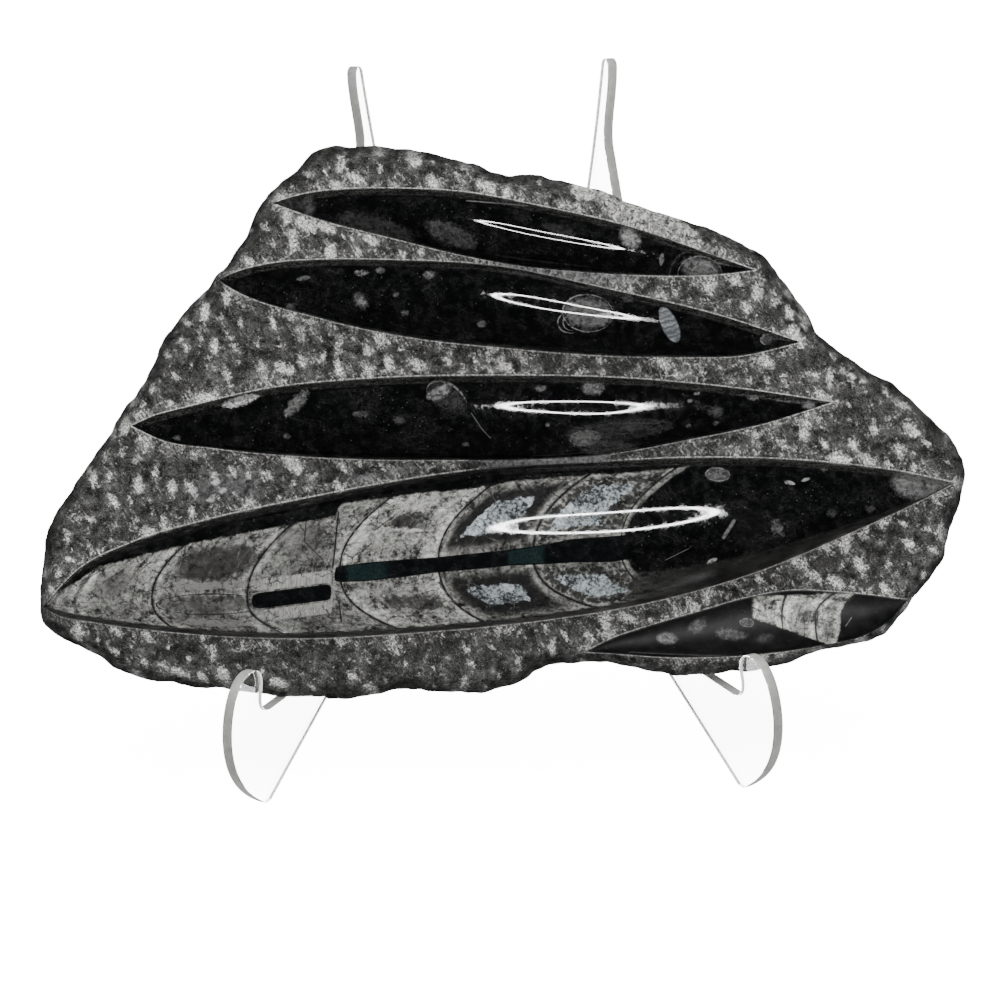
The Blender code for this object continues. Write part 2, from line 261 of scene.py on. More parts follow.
# Each carved form: its two points, its upper and lower edges, and its grid of points. Its height
# follows its width (swell) and rises to the right (skew); a low power gives steep flanks under a
# flat top, and crest shifts the top line across.
forms = {
    "top": {
        "points": ((-61.5, 71), (73, 48)),
        "upper": ((-52, 73.3), (-41, 74.2), (-27.5, 74), (-5.5, 72), (12.5, 68), (38, 61.3), (64, 51.5)),
        "lower": ((-50, 66.5), (-28, 60), (-6, 54), (7.5, 51.2), (21, 49.4), (37.5, 47.8), (64, 47.2)),
        "height": 5.1, "swell": 1.15, "skew": -0.09, "power": 0.81,
        "crest": ((-61.5, 0), (0, 0), (35, -0.12), (73, 0)),
        "stations": 220, "rows": 27,
    },
    "second": {
        "points": ((-77.5, 50), (85, 27.5)),
        "upper": ((-73, 51.8), (-62, 54.2), (-49, 54.8), (-31, 54.2), (1.5, 51.3), (30, 44.5), (64, 35.2)),
        "lower": ((-74, 47.7), (-49.5, 38.5), (-23, 32), (1, 28.6), (28, 25.6), (54, 24.2), (68, 24.2)),
        "height": 6.9, "swell": 1.33, "skew": 0.3, "power": 0.42,
        "crest": ((-77.5, 0), (-30, 0.08), (10, 0.01), (40, 0.05), (85, 0)),
        "stations": 260, "rows": 35,
    },
    "third": {
        "points": ((-103, 10), (93.5, 10.5)),
        "upper": ((-97, 12.5), (-88, 14.6), (-63.5, 19.4), (-41, 21), (0, 20.9), (36, 19), (67, 15.2)),
        "lower": ((-94, 5.6), (-80, 3), (-42, -1.2), (-14, -2.4), (8, -2.9), (28, -2.3), (54, 1.4),
                  (76, 5.5)),
        "height": 6.1, "swell": 1.27, "skew": 0.12, "power": 0.48,
        "crest": ((-103, 0), (-40, -0.03), (0, -0.02), (40, -0.16), (93.5, 0)),
        "stations": 300, "rows": 39,
    },
    "largest": {
        "points": ((-129.5, -40), (127, -13.2)),
        "upper": ((-120, -30.4), (-104, -22.6), (-83, -17), (-54, -11.6), (-22, -6.8), (2, -4.6),
                  (26, -4.1), (56, -3.8), (92, -6.3), (114, -9.9)),
        "lower": ((-125, -42.4), (-115, -44.7), (-88, -48.8), (-58, -51), (-23, -50.3), (9, -48.2),
                  (41, -43.9), (70, -36.6), (99, -25.6), (116, -18.4)),
        "height": 13.7, "swell": 0.56, "skew": -0.07, "power": 0.53,
        "crest": ((-129.5, 0), (-40, 0.09), (5, -0.06), (35, -0.17), (60, -0.22), (90, -0.34), (127, 0)),
        "stations": 400, "rows": 63,
    },
    "cut": {
        "points": ((22, -57.3), (113, -45.6)),
        "upper": ((29, -54), (39, -50.9), (54.5, -46.9), (68, -43.5), (80, -41.9), (92, -42.6), (103, -43.9)),
        "lower": ((30, -58.1), (48, -59.7), (60, -59.9), (74, -59.3), (91, -57.3), (101, -55), (108, -50.8)),
        "height": 6.0, "swell": 0.8, "skew": 0.0, "power": 0.6,
        "crest": ((22, 0), (113, 0)),
        "stations": 150, "rows": 27,
    },
}


def smoothCurve(points, x):
    xs, ys = np.array(points, float).T
    slopes = np.gradient(ys, xs)
    i = np.clip(np.searchsorted(xs, x) - 1, 0, len(xs) - 2)
    run = xs[i + 1] - xs[i]
    t = (x - xs[i]) / run
    start, end = slopes[i] * run, slopes[i + 1] * run
    rise = ys[i + 1] - ys[i]
    return ys[i] + t * (start + t * (3 * rise - 2 * start - end + t * (start + end - 2 * rise)))


def formEdges(form, u):
    left, right = form["points"]
    return smoothCurve((left, *form["lower"], right), u), smoothCurve((left, *form["upper"], right), u)


def formStations(form):
    (u1, _), (u2, _) = form["points"]
    t = np.linspace(0, 1, form["stations"] + 1)[1:-1]
    return u1 + (u2 - u1) * (t - 0.09 * np.sin(2 * math.pi * t))


def formHeight(form, u, v):
    (u1, _), (u2, _) = form["points"]
    low, high = formEdges(form, u)
    half = np.maximum((high - low) / 2, 1e-6)
    widest = max(b - a for a, b in zip(*formEdges(form, formStations(form)))) / 2
    topLine = form["height"] * (half / widest) ** form["swell"]
    topLine = topLine * (1 + form["skew"] * (2 * u - u1 - u2) / (u2 - u1))
    crest = smoothCurve(form["crest"], u)
    across = np.clip((v - (low + high) / 2) / half, -1, 1) - crest
    across = across / np.where(across > 0, 1 - crest, 1 + crest)
    return topLine * (1 - across**2) ** form["power"]


def pastForm(form, u, v):
    # roughly how far a point lies outside a carved form, negative inside it
    (u1, v1), (u2, v2) = form["points"]
    held = np.clip(u, u1 + 0.01, u2 - 0.01)
    low, high = formEdges(form, held)
    lowNext, highNext = formEdges(form, np.clip(held + 0.5, u1 + 0.01, u2 - 0.01))
    above = (v - high) / np.sqrt(1 + ((highNext - high) / 0.5) ** 2)
    below = (low - v) / np.sqrt(1 + ((lowNext - low) / 0.5) ** 2)
    beyond = np.where(u < u1, np.hypot(u - u1, v - v1), np.hypot(u - u2, v - v2))
    return np.where((u > u1) & (u < u2), np.maximum(above, below), beyond)


def distanceTo(u, v, line):
    line = np.array(line, float)
    best = np.full(len(u), np.inf)
    for (u1, v1), (u2, v2) in zip(line, np.roll(line, -1, axis=0)):
        du, dv = u2 - u1, v2 - v1
        t = np.clip(((u - u1) * du + (v - v1) * dv) / max(du * du + dv * dv, 1e-9), 0, 1)
        best = np.minimum(best, (u - u1 - t * du) ** 2 + (v - v1 - t * dv) ** 2)
    return np.sqrt(best)


def insideLoop(u, v, loop):
    within = np.zeros(len(u), bool)
    for (u1, v1), (u2, v2) in zip(loop, np.roll(loop, -1, axis=0)):
        if v1 != v2:
            crosses = (v1 > v) != (v2 > v)
            within ^= crosses & (u < (u2 - u1) * (v - v1) / (v2 - v1) + u1)
    return within


def ripple(s, size, seed):
    # smooth noise along a run, about -1 to 1
    return np.array([noise.noise(Vector((x / size, seed * 7.3, 0.5))) for x in s]) * 1.6


def brokenOutline():
    # corners rounded off, points at an even step, then a little wander
    loop = np.array(slab["outline"], float)
    for _ in range(2):
        after = np.roll(loop, -1, axis=0)
        loop = np.stack([loop * 0.8 + after * 0.2, loop * 0.2 + after * 0.8], axis=1).reshape(-1, 2)
    closed = np.vstack([loop, loop[:1]])
    run = np.concatenate([[0], np.cumsum(np.hypot(*np.diff(closed, axis=0).T))])
    count = round(run[-1] / slab["edgeStep"])
    s = np.arange(count) * run[-1] / count
    loop = np.stack([np.interp(s, run, closed[:, 0]), np.interp(s, run, closed[:, 1])], axis=1)
    fade = np.minimum(1, np.minimum(s, run[-1] - s) / 12)
    out = slab["edgeWander"] * (ripple(s, 5.2, 1) + 0.45 * ripple(s, 2.1, 2)) * fade - 0.15
    return loop + outward(loop) * out[:, None]


def outward(loop):
    along = np.roll(loop, -2, axis=0) - np.roll(loop, 2, axis=0)
    along /= np.hypot(*along.T)[:, None]
    return np.stack([-along[:, 1], along[:, 0]], axis=1)


def faceHeight(u, v, rim):
    (u0, v0), (ru, rv) = slab["saddle"]["centre"], slab["saddle"]["reach"]
    w = slab["saddle"]["height"] * np.exp(-(((u - u0) / ru) ** 2) - ((v - v0) / rv) ** 2)
    w = w - slab["rimDrop"] * np.clip(1 - rim / slab["rimWidth"], 0, 1) ** 1.4
    for form in forms.values():
        (u1, _), (u2, _) = form["points"]
        held = np.clip(u, u1 + 0.01, u2 - 0.01)
        w = w + np.where((u > u1) & (u < u2), formHeight(form, held, v), 0)
    return w


# the fossils in the polished stone

# walls: where each wall of the shell crosses its middle line, and how far it sweeps right above
# and below it. chambers: light tone, dark heart, crystals, one for each space between walls.
shells = {
    "largest": {
        "first": (-145.0, 0.0, 0.0), "last": (75.0, 20.0, 16.0),
        "walls": ((-119.1, 6.0, 1.0), (-97.1, 9.3, 4.5), (-70.7, 13.3, 9.3), (-44.9, 15.1, 15.7),
                  (-17.8, 15.3, 11.8), (8.2, 16.5, 17.7), (33.9, 19.9, 16.2)),
        "chambers": ((0.07, 0.15, 0.0), (0.085, 0.3, 0.0), (0.07, 0.4, 0.0), (0.065, 0.4, 0.0),
                     (0.11, 0.3, 0.0), (0.06, 0.45, 0.95), (0.07, 0.2, 0.95), (0.001, 0.0, 0.0)),
        "axis": ((-131, -40), (-119, -39.6), (-97, -38.9), (-70.7, -39.7), (-47.3, -37.5), (-46.7, -32.8),
                 (-37.6, -32.3), (-27.4, -31.6), (-18.9, -31), (-5.9, -30.2), (1.9, -29.6), (12.1, -29),
                 (18.2, -28.3), (29.5, -28.2), (36.2, -27.6), (130, -24)),
        "halfTube": ((-131, -3), (-70.2, -1.5), (-69.2, 1.6), (-67.6, 2.2), (-48.4, 2.2), (-47.3, 1.5),
                     (-46.9, -0.6),
                     (-46.4, 1.6), (-45.5, 2.2), (-37, 2.6),
                     (-27, 2.4), (-18.9, 2.1), (-5.9, 2.2), (1.9, 2.2), (12.1, 2.75), (18.2, 3.2),
                     (29.5, 3.55), (36.2, 3.3), (130, 3)),
        "upper": ((-131, -40), (-125, -36), (-118, -32.6), (-112, -28.8), (-101.5, -26.3), (-85, -22.9),
                  (-69, -20.3), (-54.5, -18), (-45.6, -16.8), (-44.9, -13.5), (-30.4, -12), (-21.6, -11.2),
                  (-8.4, -10.5), (4.8, -8.6), (24.7, -7.6), (39, -7.2), (54, -6), (130, -6)),
        "lowerLift": 1.9,  # the fossil stops this far above the form's lower edge
        "span": (0.0, 7.0),
        "power": 2.3,
    },
    "cut": {
        "first": (50.0, 1.0, 1.0), "last": (125.0, 6.3, -0.6),
        "walls": ((68.4, 1.2, 1.6), (76.7, 1.7, 1.4), (86.0, 6.2, 0.8), (93.2, 6.3, -0.6)),
        "chambers": ((0.001, 0.0, 0.0), (0.17, 0.1, 0.0), (0.15, 0.3, 0.0), (0.13, 0.4, 0.0),
                     (0.001, 0.0, 0.0)),
        "axis": ((20, -49.5), (120, -49.5)),
        "halfTube": ((20, -3), (120, -3)),
        "upper": ((20, -43.0), (120, -43.0)),
        "lowerLine": ((20, -35), (69.5, -49.3), (77, -52), (84.1, -54.9), (88.9, -56.9), (120, -68)),
        "span": (1.0, 4.0),
        "power": 2.2,
    },
}


def shellFields(name, u, v):
    # the chamber coordinate, the place across the shell, mm per chamber, and how deep inside it lies
    shell = shells[name]
    rows = np.array((shell["first"], *shell["walls"], shell["last"]))
    axis = np.interp(u, *np.array(shell["axis"]).T)
    top = np.interp(u, *np.array(shell["upper"]).T)
    if "lowerLine" in shell:
        bottom = np.interp(u, *np.array(shell["lowerLine"]).T)
        reachDown = np.full(len(u), 6.5)
    else:
        bottom = formEdges(forms[name], u)[0] + shell["lowerLift"]
        reachDown = np.maximum(axis - bottom, 1)
    t = np.where(v > axis, (v - axis) / np.maximum(top - axis, 1), (v - axis) / reachDown)
    s = u.copy()
    for _ in range(5):
        sweep = np.where(t > 0, np.interp(s, rows[:, 0], rows[:, 1]), np.interp(s, rows[:, 0], rows[:, 2]))
        s = 0.5 * s + 0.5 * (u - sweep * np.clip(np.abs(t), 0, 1.3) ** shell["power"])
    cell = np.interp(s, rows[:, 0], np.arange(len(rows)))
    first = np.clip(np.floor(cell).astype(int), 0, len(rows) - 2)
    length = rows[first + 1, 0] - rows[first, 0]
    slope = shell["power"] * sweep * np.clip(np.abs(t), 0, 1.3) ** (shell["power"] - 1)
    length = length / np.sqrt(1 + (slope / np.where(t > 0, np.maximum(top - axis, 1), reachDown)) ** 2)
    tube = np.interp(u, *np.array(shell["halfTube"]).T) - np.abs(v - axis)
    start, end = shell["span"]
    deep = np.minimum(np.minimum(top - v, v - bottom), np.minimum(cell - start, end - cell) * 9)
    look = np.array(shell["chambers"])[first]
    return cell, t, length, deep, tube, look


# values kept on the stone's points, and what each is where nothing else is said
usualValues = {
    "broken": 0.0, "tooled": 0.0, "flank": 0.0, "rim": 0.0, "edge": 20.0,
    "cell": 0.0, "across": 0.0, "chamber": 0.0, "fossil": -9.0, "tube": -9.0, "look": (0.0, 0.0, 0.0),
}
shellValues = ("cell", "across", "chamber", "fossil", "tube", "look")


def addPoints(stone, places, **values):
    # adds points in face millimetres, and gives their numbers
    first = sum(map(len, stone["place"]))
    stone["place"].append(places)
    for key, usual in usualValues.items():
        filled = np.broadcast_to(values.get(key, usual), (len(places), *np.shape(usual)))
        stone[key].append(np.array(filled, float))
    return np.arange(first, first + len(places))


def lattice(step):
    # a triangular lattice of points over the whole slab
    row = step * math.sqrt(3) / 2
    j, i = np.meshgrid(np.arange(int(-72 / row), int(90 / row)), np.arange(int(-134 / step), int(134 / step)))
    return np.stack([(i + 0.5 * (j % 2)).ravel() * step, j.ravel() * row], axis=1)


def triangulated(points, edges):
    # points, triangles, and the given points that each point stands for
    given = [Vector(map(float, p)) for p in points]
    flat, _, faces, origins, *_ = delaunay_2d_cdt(given, edges, [], 0, 1e-4, True)
    return np.array([tuple(p) for p in flat]), np.array([tuple(f) for f in faces]), origins


def roundLoop(first, size):
    return [(first + i, first + (i + 1) % size) for i in range(size)]


def formLoop(form):
    # a form's outline: its left point, upper edge, right point and lower edge
    u = formStations(form)
    low, high = formEdges(form, u)
    left, right = form["points"]
    return np.array([left, *zip(u, high), right, *zip(u[::-1], low[::-1])])


def collarOf(form):
    # points just outside a form, for the bright bruised line round it
    ring = formLoop(form)
    ring = ring[::2] + outward(ring)[::2] * slab["collar"]
    clear = pastForm(form, *ring.T) > slab["collar"] * 0.6
    for other in forms.values():
        if other is not form:
            clear &= pastForm(other, *ring.T) > 0.5
    return ring[clear]


def openGround(loop):
    # points over the ground, clear of the rim and of the carved forms
    step = slab["groundStep"]
    spots = lattice(step)
    spots += np.random.default_rng(slab["seed"]).uniform(-0.16, 0.16, spots.shape) * step
    spots = spots[insideLoop(*spots.T, loop)]
    spots = spots[distanceTo(*spots.T, loop[::2]) > 0.65 * step]
    for form in forms.values():
        spots = spots[pastForm(form, *spots.T) > slab["collar"] + 0.45 * step]
    return spots


def flatGround(loop):
    # the ground with the carved forms left open: its points, its triangles,
    # and the points round each form and the rim
    points, owner, edges = [*loop], [-1] * len(loop), roundLoop(0, len(loop))
    starts = []
    for number, form in enumerate(forms.values()):
        outline, collar = formLoop(form), collarOf(form)
        starts.append((len(points), len(outline)))
        edges += roundLoop(*starts[-1])
        points += [*outline, *collar]
        owner += [number] * len(outline) + [-2] * len(collar)
    spots = openGround(loop)
    flat, faces, origins = triangulated([*points, *spots], edges)
    owner += [-2] * len(spots)
    place = np.full(len(owner), -1)
    belongs = np.full(len(flat), -2)
    for k, origin in enumerate(origins):
        for o in origin:
            place[o] = k
            belongs[k] = max(belongs[k], owner[o]) if owner[o] != -1 else -1
    middle = flat[faces].mean(axis=1)
    keep = insideLoop(*middle.T, loop)
    for number, form in enumerate(forms.values()):
        keep &= ~((belongs[faces] == number).all(axis=1) & (pastForm(form, *middle.T) < 0.02))
    rings = {name: place[first:first + size] for name, (first, size) in zip(forms, starts)}
    return flat, faces[keep], rings, place[:len(loop)]


def saddleZones(middle):
    # the polish runs on over the saddle between two of the forms
    start, end = slab["saddle"]["polished"]
    away = [pastForm(forms[name], *middle.T) for name in slab["saddle"]["between"]]
    nearest = np.maximum(np.minimum(*away), 0)
    over = (middle[:, 0] > start + 8 * nearest) & (middle[:, 0] < end - 8 * nearest)
    return (over & (np.maximum(*away) < 3.5)).astype(int).tolist()


def addGround(stone, flat, loop, rings, top):
    rim = distanceTo(*flat.T, loop)
    away = {name: pastForm(form, *flat.T) for name, form in forms.items()}
    edge = np.min([np.maximum(far, 0) for far in away.values()], axis=0)
    tooled = np.clip((edge - 0.5) / 1.6, 0, 1) * np.clip(0.3 + rim / 5, 0, 1)
    saddle = slab["saddle"]
    beside = np.abs(flat[:, 0] - saddle["centre"][0]) < saddle["reach"][0]
    for name in saddle["between"]:
        beside &= away[name] < 4
    tooled[beside] = 0
    for ring in rings.values():
        edge[ring] = tooled[ring] = 0
    tooled[top] *= 0.4
    addPoints(stone, np.column_stack([flat, faceHeight(*flat.T, rim)]), edge=edge, rim=rim, tooled=tooled)


def addForm(stone, faces, zones, name, ring):
    # rows of points across each station, sharing the outline's points
    form = forms[name]
    u = formStations(form)
    low, high = formEdges(form, u)
    many, rows = len(u), form["rows"]
    across = np.sin(np.linspace(-1, 1, rows) * 1.28) / math.sin(1.28)
    uu = np.tile(u, rows - 2)
    vv = ((low + high) / 2 + across[1:-1, None] * (high - low) / 2).ravel()
    shell = {}
    if name in shells:
        ends = np.unique(ring)
        endU, endV, _ = stone["place"][0][ends].T
        for key, value in zip(shellValues, shellFields(name, np.clip(endU, u[0], u[-1]), endV)):
            stone[key][0][ends] = value
        shell = dict(zip(shellValues, shellFields(name, uu, vv)))
    places = np.column_stack([uu, vv, faceHeight(uu, vv, np.full(len(uu), 20.0))])
    inner = addPoints(stone, places, rim=20.0, edge=np.minimum(pastForm(form, uu, vv), 0),
                      flank=np.repeat(across[1:-1], many), **shell)
    left, upper, right, lower = ring[0], ring[1:1 + many], ring[1 + many], ring[2 + many:][::-1]
    index = np.vstack([lower, inner.reshape(rows - 2, many), upper])
    stone["flank"][0][lower], stone["flank"][0][upper] = -1.0, 1.0
    for below, above in zip(index, index[1:]):
        faces += [[below[k], below[k + 1], above[k + 1], above[k]] for k in range(many - 1)]
        faces += [[left, below[0], above[0]], [below[-1], right, above[-1]]]
    zones += [1] * ((rows - 1) * (many + 1))


def addSides(stone, faces, zones, loop, above):
    # the broken sides: rings of points from the rim down to the back
    count = len(loop)
    normals = outward(loop)
    s = np.arange(count) * slab["edgeStep"]
    chips = 0.75 * ripple(s, 17, 3) * np.minimum(1, np.minimum(s, s[-1] - s) / 12)
    start = stone["place"][0][above, 2]
    back, rings = -slab["thickness"], slab["sideRings"]
    for t in np.arange(1, rings + 1) / rings:
        depth = start + (back - start) * t
        out = np.interp(depth, [back, -15, -9.5, -5], [-2.4, -0.9, 0.1, 0.0])
        out = out + chips * math.sin(math.pi * min(t * 1.15, 1)) * 0.9
        ringLoop = loop + normals * out[:, None]
        ring = addPoints(stone, np.column_stack([ringLoop, depth]), broken=min(1, 3 * t, 4 * (1 - t)))
        faces += [[above[a], above[b], ring[b], ring[a]] for a, b in roundLoop(0, count)]
        zones += [2] * count
        above = ring
    return ringLoop, ring


def addBack(stone, faces, zones, loop, ring):
    # the sawn back
    spots = lattice(slab["backStep"])
    spots = spots[insideLoop(*spots.T, loop)]
    spots = spots[distanceTo(*spots.T, loop[::4]) > 0.6 * slab["backStep"]]
    flat, triangles, origins = triangulated([*loop, *spots], roundLoop(0, len(loop)))
    onRing = [next((o for o in origin if o < len(loop)), -1) for origin in origins]
    index = ring[onRing]
    fresh = np.array(onRing) < 0
    index[fresh] = addPoints(stone, np.column_stack([flat[fresh], np.full(fresh.sum(), -slab["thickness"])]))
    inside = insideLoop(*flat[triangles].mean(axis=1).T, loop)
    faces += index[triangles[inside][:, ::-1]].tolist()
    zones += [3] * int(inside.sum())


def stoneMesh():
    loop = brokenOutline()
    flat, triangles, rings, top = flatGround(loop)
    stone = {key: [] for key in ("place", *usualValues)}
    addGround(stone, flat, loop, rings, top)
    zones = saddleZones(flat[triangles].mean(axis=1))
    faces = triangles.tolist()
    for name, ring in rings.items():
        addForm(stone, faces, zones, name, ring)
    addBack(stone, faces, zones, *addSides(stone, faces, zones, loop, top))
    return {key: np.concatenate(values) for key, values in stone.items()}, faces, zones


def meshWith(name, points, faces, fields=None, zones=None):
    mesh = bpy.data.meshes.new(name)
    mesh.from_pydata(points, [], [list(map(int, f)) for f in faces])
    for key, values in (fields or {}).items():
        kind = "FLOAT_VECTOR" if np.ndim(values) == 2 else "FLOAT"
        made = mesh.attributes.new(key, kind, "POINT")
        made.data.foreach_set("vector" if kind == "FLOAT_VECTOR" else "value",
                              np.asarray(values, np.float32).ravel())
    if zones is not None:
        made = mesh.attributes.new("zone", "INT", "FACE")
        made.data.foreach_set("value", np.asarray(zones, np.int32))
    mesh.polygons.foreach_set("use_smooth", np.ones(len(mesh.polygons), bool))
    mesh.update()
    piece = bpy.data.objects.new(name, mesh)
    bpy.context.scene.collection.objects.link(piece)
    return piece


# shared stone effects; every place is in face millimetres

def makeGrain():
    # crushed, granular stone: a tone and a height from several sizes of noise
    given = newTree("stoneGrain", "ShaderNodeTree",
                    [("Place", triple), ("Coarse", decimal, 0.35), ("Fine", decimal, 2.2)],
                    [("Tone", decimal), ("Height", decimal)])
    coarse = clouds(given["Place"], given["Coarse"], 5.0, 0.62)
    fine = clouds(given["Place"], given["Fine"], 3.0, 0.7)
    crumbs = put("ShaderNodeTexVoronoi", {"Vector": given["Place"], "Scale": given["Fine"]})
    tone = scaled(fine, 0.55, coarse * 0.45)
    return finishTree(Tone=tone, Height=fine - crumbs * 0.35)


def makeFibres():
    # fine streaks lying one way; the turn is in radians from the face's right
    given = newTree("fibres", "ShaderNodeTree",
                    [("Place", triple), ("Turn", decimal), ("Long", decimal, 4.0),
                     ("Wide", decimal, 0.5)], [("Tone", decimal)])
    turn = put("ShaderNodeCombineXYZ", (0.0, 0.0, given["Turn"]))
    size = put("ShaderNodeCombineXYZ", (given["Long"], given["Wide"], given["Wide"]))
    laid = put("ShaderNodeMapping", {"Vector": given["Place"], "Rotation": turn, "Scale": size},
               vector_type="TEXTURE")
    streaks = clouds(laid, 1.0, 4.0, 0.62, 0.5)
    return finishTree(Tone=between(streaks, 0.28, 0.72))


def makeWaves():
    # wavering parallel ridges, 0 to 1
    given = newTree("waveringRidges", "ShaderNodeTree",
                    [("Place", triple), ("Turn", decimal), ("Step", decimal, 2.3),
                     ("Wander", decimal, 1.0)], [("Tone", decimal)])
    turned = rotated(given["Place"], given["Turn"])
    drift = clouds(given["Place"], 0.4, 3.0)
    drift = (drift - 0.5) * (given["Wander"] * 4.0)
    along = put("ShaderNodeSeparateXYZ", (turned,)) + drift
    phase = along * (2 * math.pi) / given["Step"]
    return finishTree(Tone=scaled(sums("SINE", phase), 0.5, 0.5))


def makeVeins():
    # thin broken cracks
    given = newTree("thinVeins", "ShaderNodeTree",
                    [("Place", triple), ("Size", decimal, 5.0), ("Width", decimal, 0.2)],
                    [("Mask", decimal)])
    cells = put("ShaderNodeTexVoronoi", {"Vector": given["Place"], "Scale": 1.0 / given["Size"]},
                feature="DISTANCE_TO_EDGE")
    line = between(cells * given["Size"], given["Width"], 0.0)
    where = clouds(given["Place"], 0.23, 2.0)
    return finishTree(Mask=line * between(where, 0.42, 0.58))


def makeSpecks():
    # small pale crumbs scattered through the stone, thicker in some places
    given = newTree("paleSpecks", "ShaderNodeTree",
                    [("Place", triple), ("Size", decimal, 1.6), ("Share", decimal, 0.2)],
                    [("Mask", decimal)])
    cells = wires(node("ShaderNodeTexVoronoi", {"Vector": given["Place"], "Scale": given["Size"]}))
    bright = put("ShaderNodeSeparateColor", (cells["Color"],))
    patch = clouds(given["Place"], 0.11, 2.0)
    limit = given["Share"] * between(patch, 0.35, 0.7, 0.25, 1.6)
    chosen = sums("LESS_THAN", bright, limit)
    spot = between(cells["Distance"], 0.34, 0.12)
    return finishTree(Mask=chosen * spot)


def makeScratches():
    # hairline marks from polishing, in a few directions
    given = newTree("fineScratches", "ShaderNodeTree",
                    [("Place", triple), ("Density", decimal, 0.5)],
                    [("Mask", decimal), ("Height", decimal)])
    total = None
    for turn, stretch in ((0.5, 0.9), (1.9, 1.3), (2.8, 0.7)):
        turned = put("ShaderNodeMapping", {"Vector": given["Place"], "Rotation": (0, 0, turn),
                                           "Scale": (14 / stretch, 0.38 / stretch, 1.0)},
                     vector_type="TEXTURE")
        bent = clouds(turned, 1.0, 2.0, 0.6, 0.6)
        line = between(abs(bent - 0.5), 0.02, 0.0)
        total = line if total is None else sums("MAXIMUM", total, line)
    where = clouds(given["Place"], 0.35, 2.0)
    mask = total * (between(where, 0.4, 0.65) * given["Density"])
    return finishTree(Mask=mask, Height=0.0 - mask)


def makeOval():
    # an oval mark: its fill and its outline. Wobble is how far the shift moves it, and an open
    # outline thins to nothing away from the side it faces.
    given = newTree("ovalMark", "ShaderNodeTree",
                    [("Place", triple), ("Shift", triple), ("Centre", triple), ("Half", triple),
                     ("Turn", decimal), ("Soft", decimal, 0.2), ("Line", decimal, 0.25),
                     ("Wobble", decimal, 0.3), ("Open", decimal), ("Facing", decimal)],
                    [("Fill", decimal), ("Outline", decimal)])
    moved = stretched(given["Shift"], given["Wobble"])
    away = vectors("SUBTRACT", vectors("ADD", given["Place"], moved), given["Centre"])
    away = rotated(away, given["Turn"])
    flat = vectors("MULTIPLY", away, (1, 1, 0))
    ratio = vectors("DIVIDE", flat, given["Half"])
    size = sums("MAXIMUM", vectors("LENGTH", ratio), 0.05)
    past = (size - 1.0) * vectors("LENGTH", flat) / size
    fill = between(past, given["Soft"], given["Soft"] * -1.0)
    towards = put("ShaderNodeCombineXYZ", (sums("COSINE", given["Facing"]), sums("SINE", given["Facing"]),
                                           0.0))
    facing = vectors("DOT_PRODUCT", ratio, towards) / size
    thin = scaled(facing, -0.8, 0.8) * given["Open"]
    width = given["Line"] * (1.0 - thin)
    width = sums("MAXIMUM", width, 0.001)
    line = between(abs(past), width, width * 0.4)
    return finishTree(Fill=fill, Outline=line * sums("GREATER_THAN", width, 0.02))


def makeStroke():
    # a short straight mark from start to end, in face millimetres
    given = newTree("strokeMark", "ShaderNodeTree",
                    [("Place", triple), ("Start", triple), ("End", triple), ("Width", decimal, 0.2)],
                    [("Mask", decimal)])
    flat = vectors("MULTIPLY", vectors("SUBTRACT", given["Place"], given["Start"]), (1, 1, 0))
    run = vectors("SUBTRACT", given["End"], given["Start"])
    share = sums("DIVIDE", vectors("DOT_PRODUCT", flat, run), vectors("DOT_PRODUCT", run, run), clamp=True)
    nearest = put("ShaderNodeVectorMath", {0: run, "Scale": share}, operation="SCALE")
    far = vectors("LENGTH", vectors("SUBTRACT", flat, nearest))
    mask = between(far, given["Width"], given["Width"] * 0.35)
    return finishTree(Mask=mask)


stoneGrain, paleSpecks, fineScratches = makeGrain(), makeSpecks(), makeScratches()
fibres, waveringRidges, thinVeins = makeFibres(), makeWaves(), makeVeins()
ovalMark, strokeMark = makeOval(), makeStroke()


def oval(place, shift, centre, half, turn, **more):
    return use(ovalMark, Place=place, Shift=shift, Centre=(*centre, 0), Half=(*half, 1),
               Turn=math.radians(turn),
               **more)


groundLook = {
    "dark": 0.0015, "mid": 0.074, "white": (0.03, 0.95), "haze": 0.06,
    "streakTurn": -58.0, "streakLong": 2.2, "streakWide": 0.55,
    "rimWidth": 6.0, "rimShade": 0.55,
    "crumbs": 0.12,
    # paler pieces caught in the ground: centre, half size, turn, tone
    "fragments": (((-75.9, -7.8), (9.0, 4.0), -6, 0.10), ((-32.7, -5.6), (11, 1.3), 8, 0.14),
                  ((21, 48.4), (21, 2.2), -9, 0.2)),
    "crystals": (((-86.1, -8.6), (1.2, 0.8)), ((-80.1, -6.5), (1.5, 0.7)), ((-78.0, -8.8), (1.1, 0.8)),
                 ((-81.1, -11.3), (1.2, 0.6))),
    # the crinoid at the upper right edge: a round lobe and a ridged stem
    "lobe": ((25.6, 71.8), (3.6, 2.6), -20, 0.3),
    "stem": ((43.5, 63.0), (16.5, 5.2), -28, 0.26), "stemEnd": ((60.5, 52.5), (7.5, 2.6), -30, 0.16),
    "stemTurn": -28.0, "stemStep": 2.4,
}


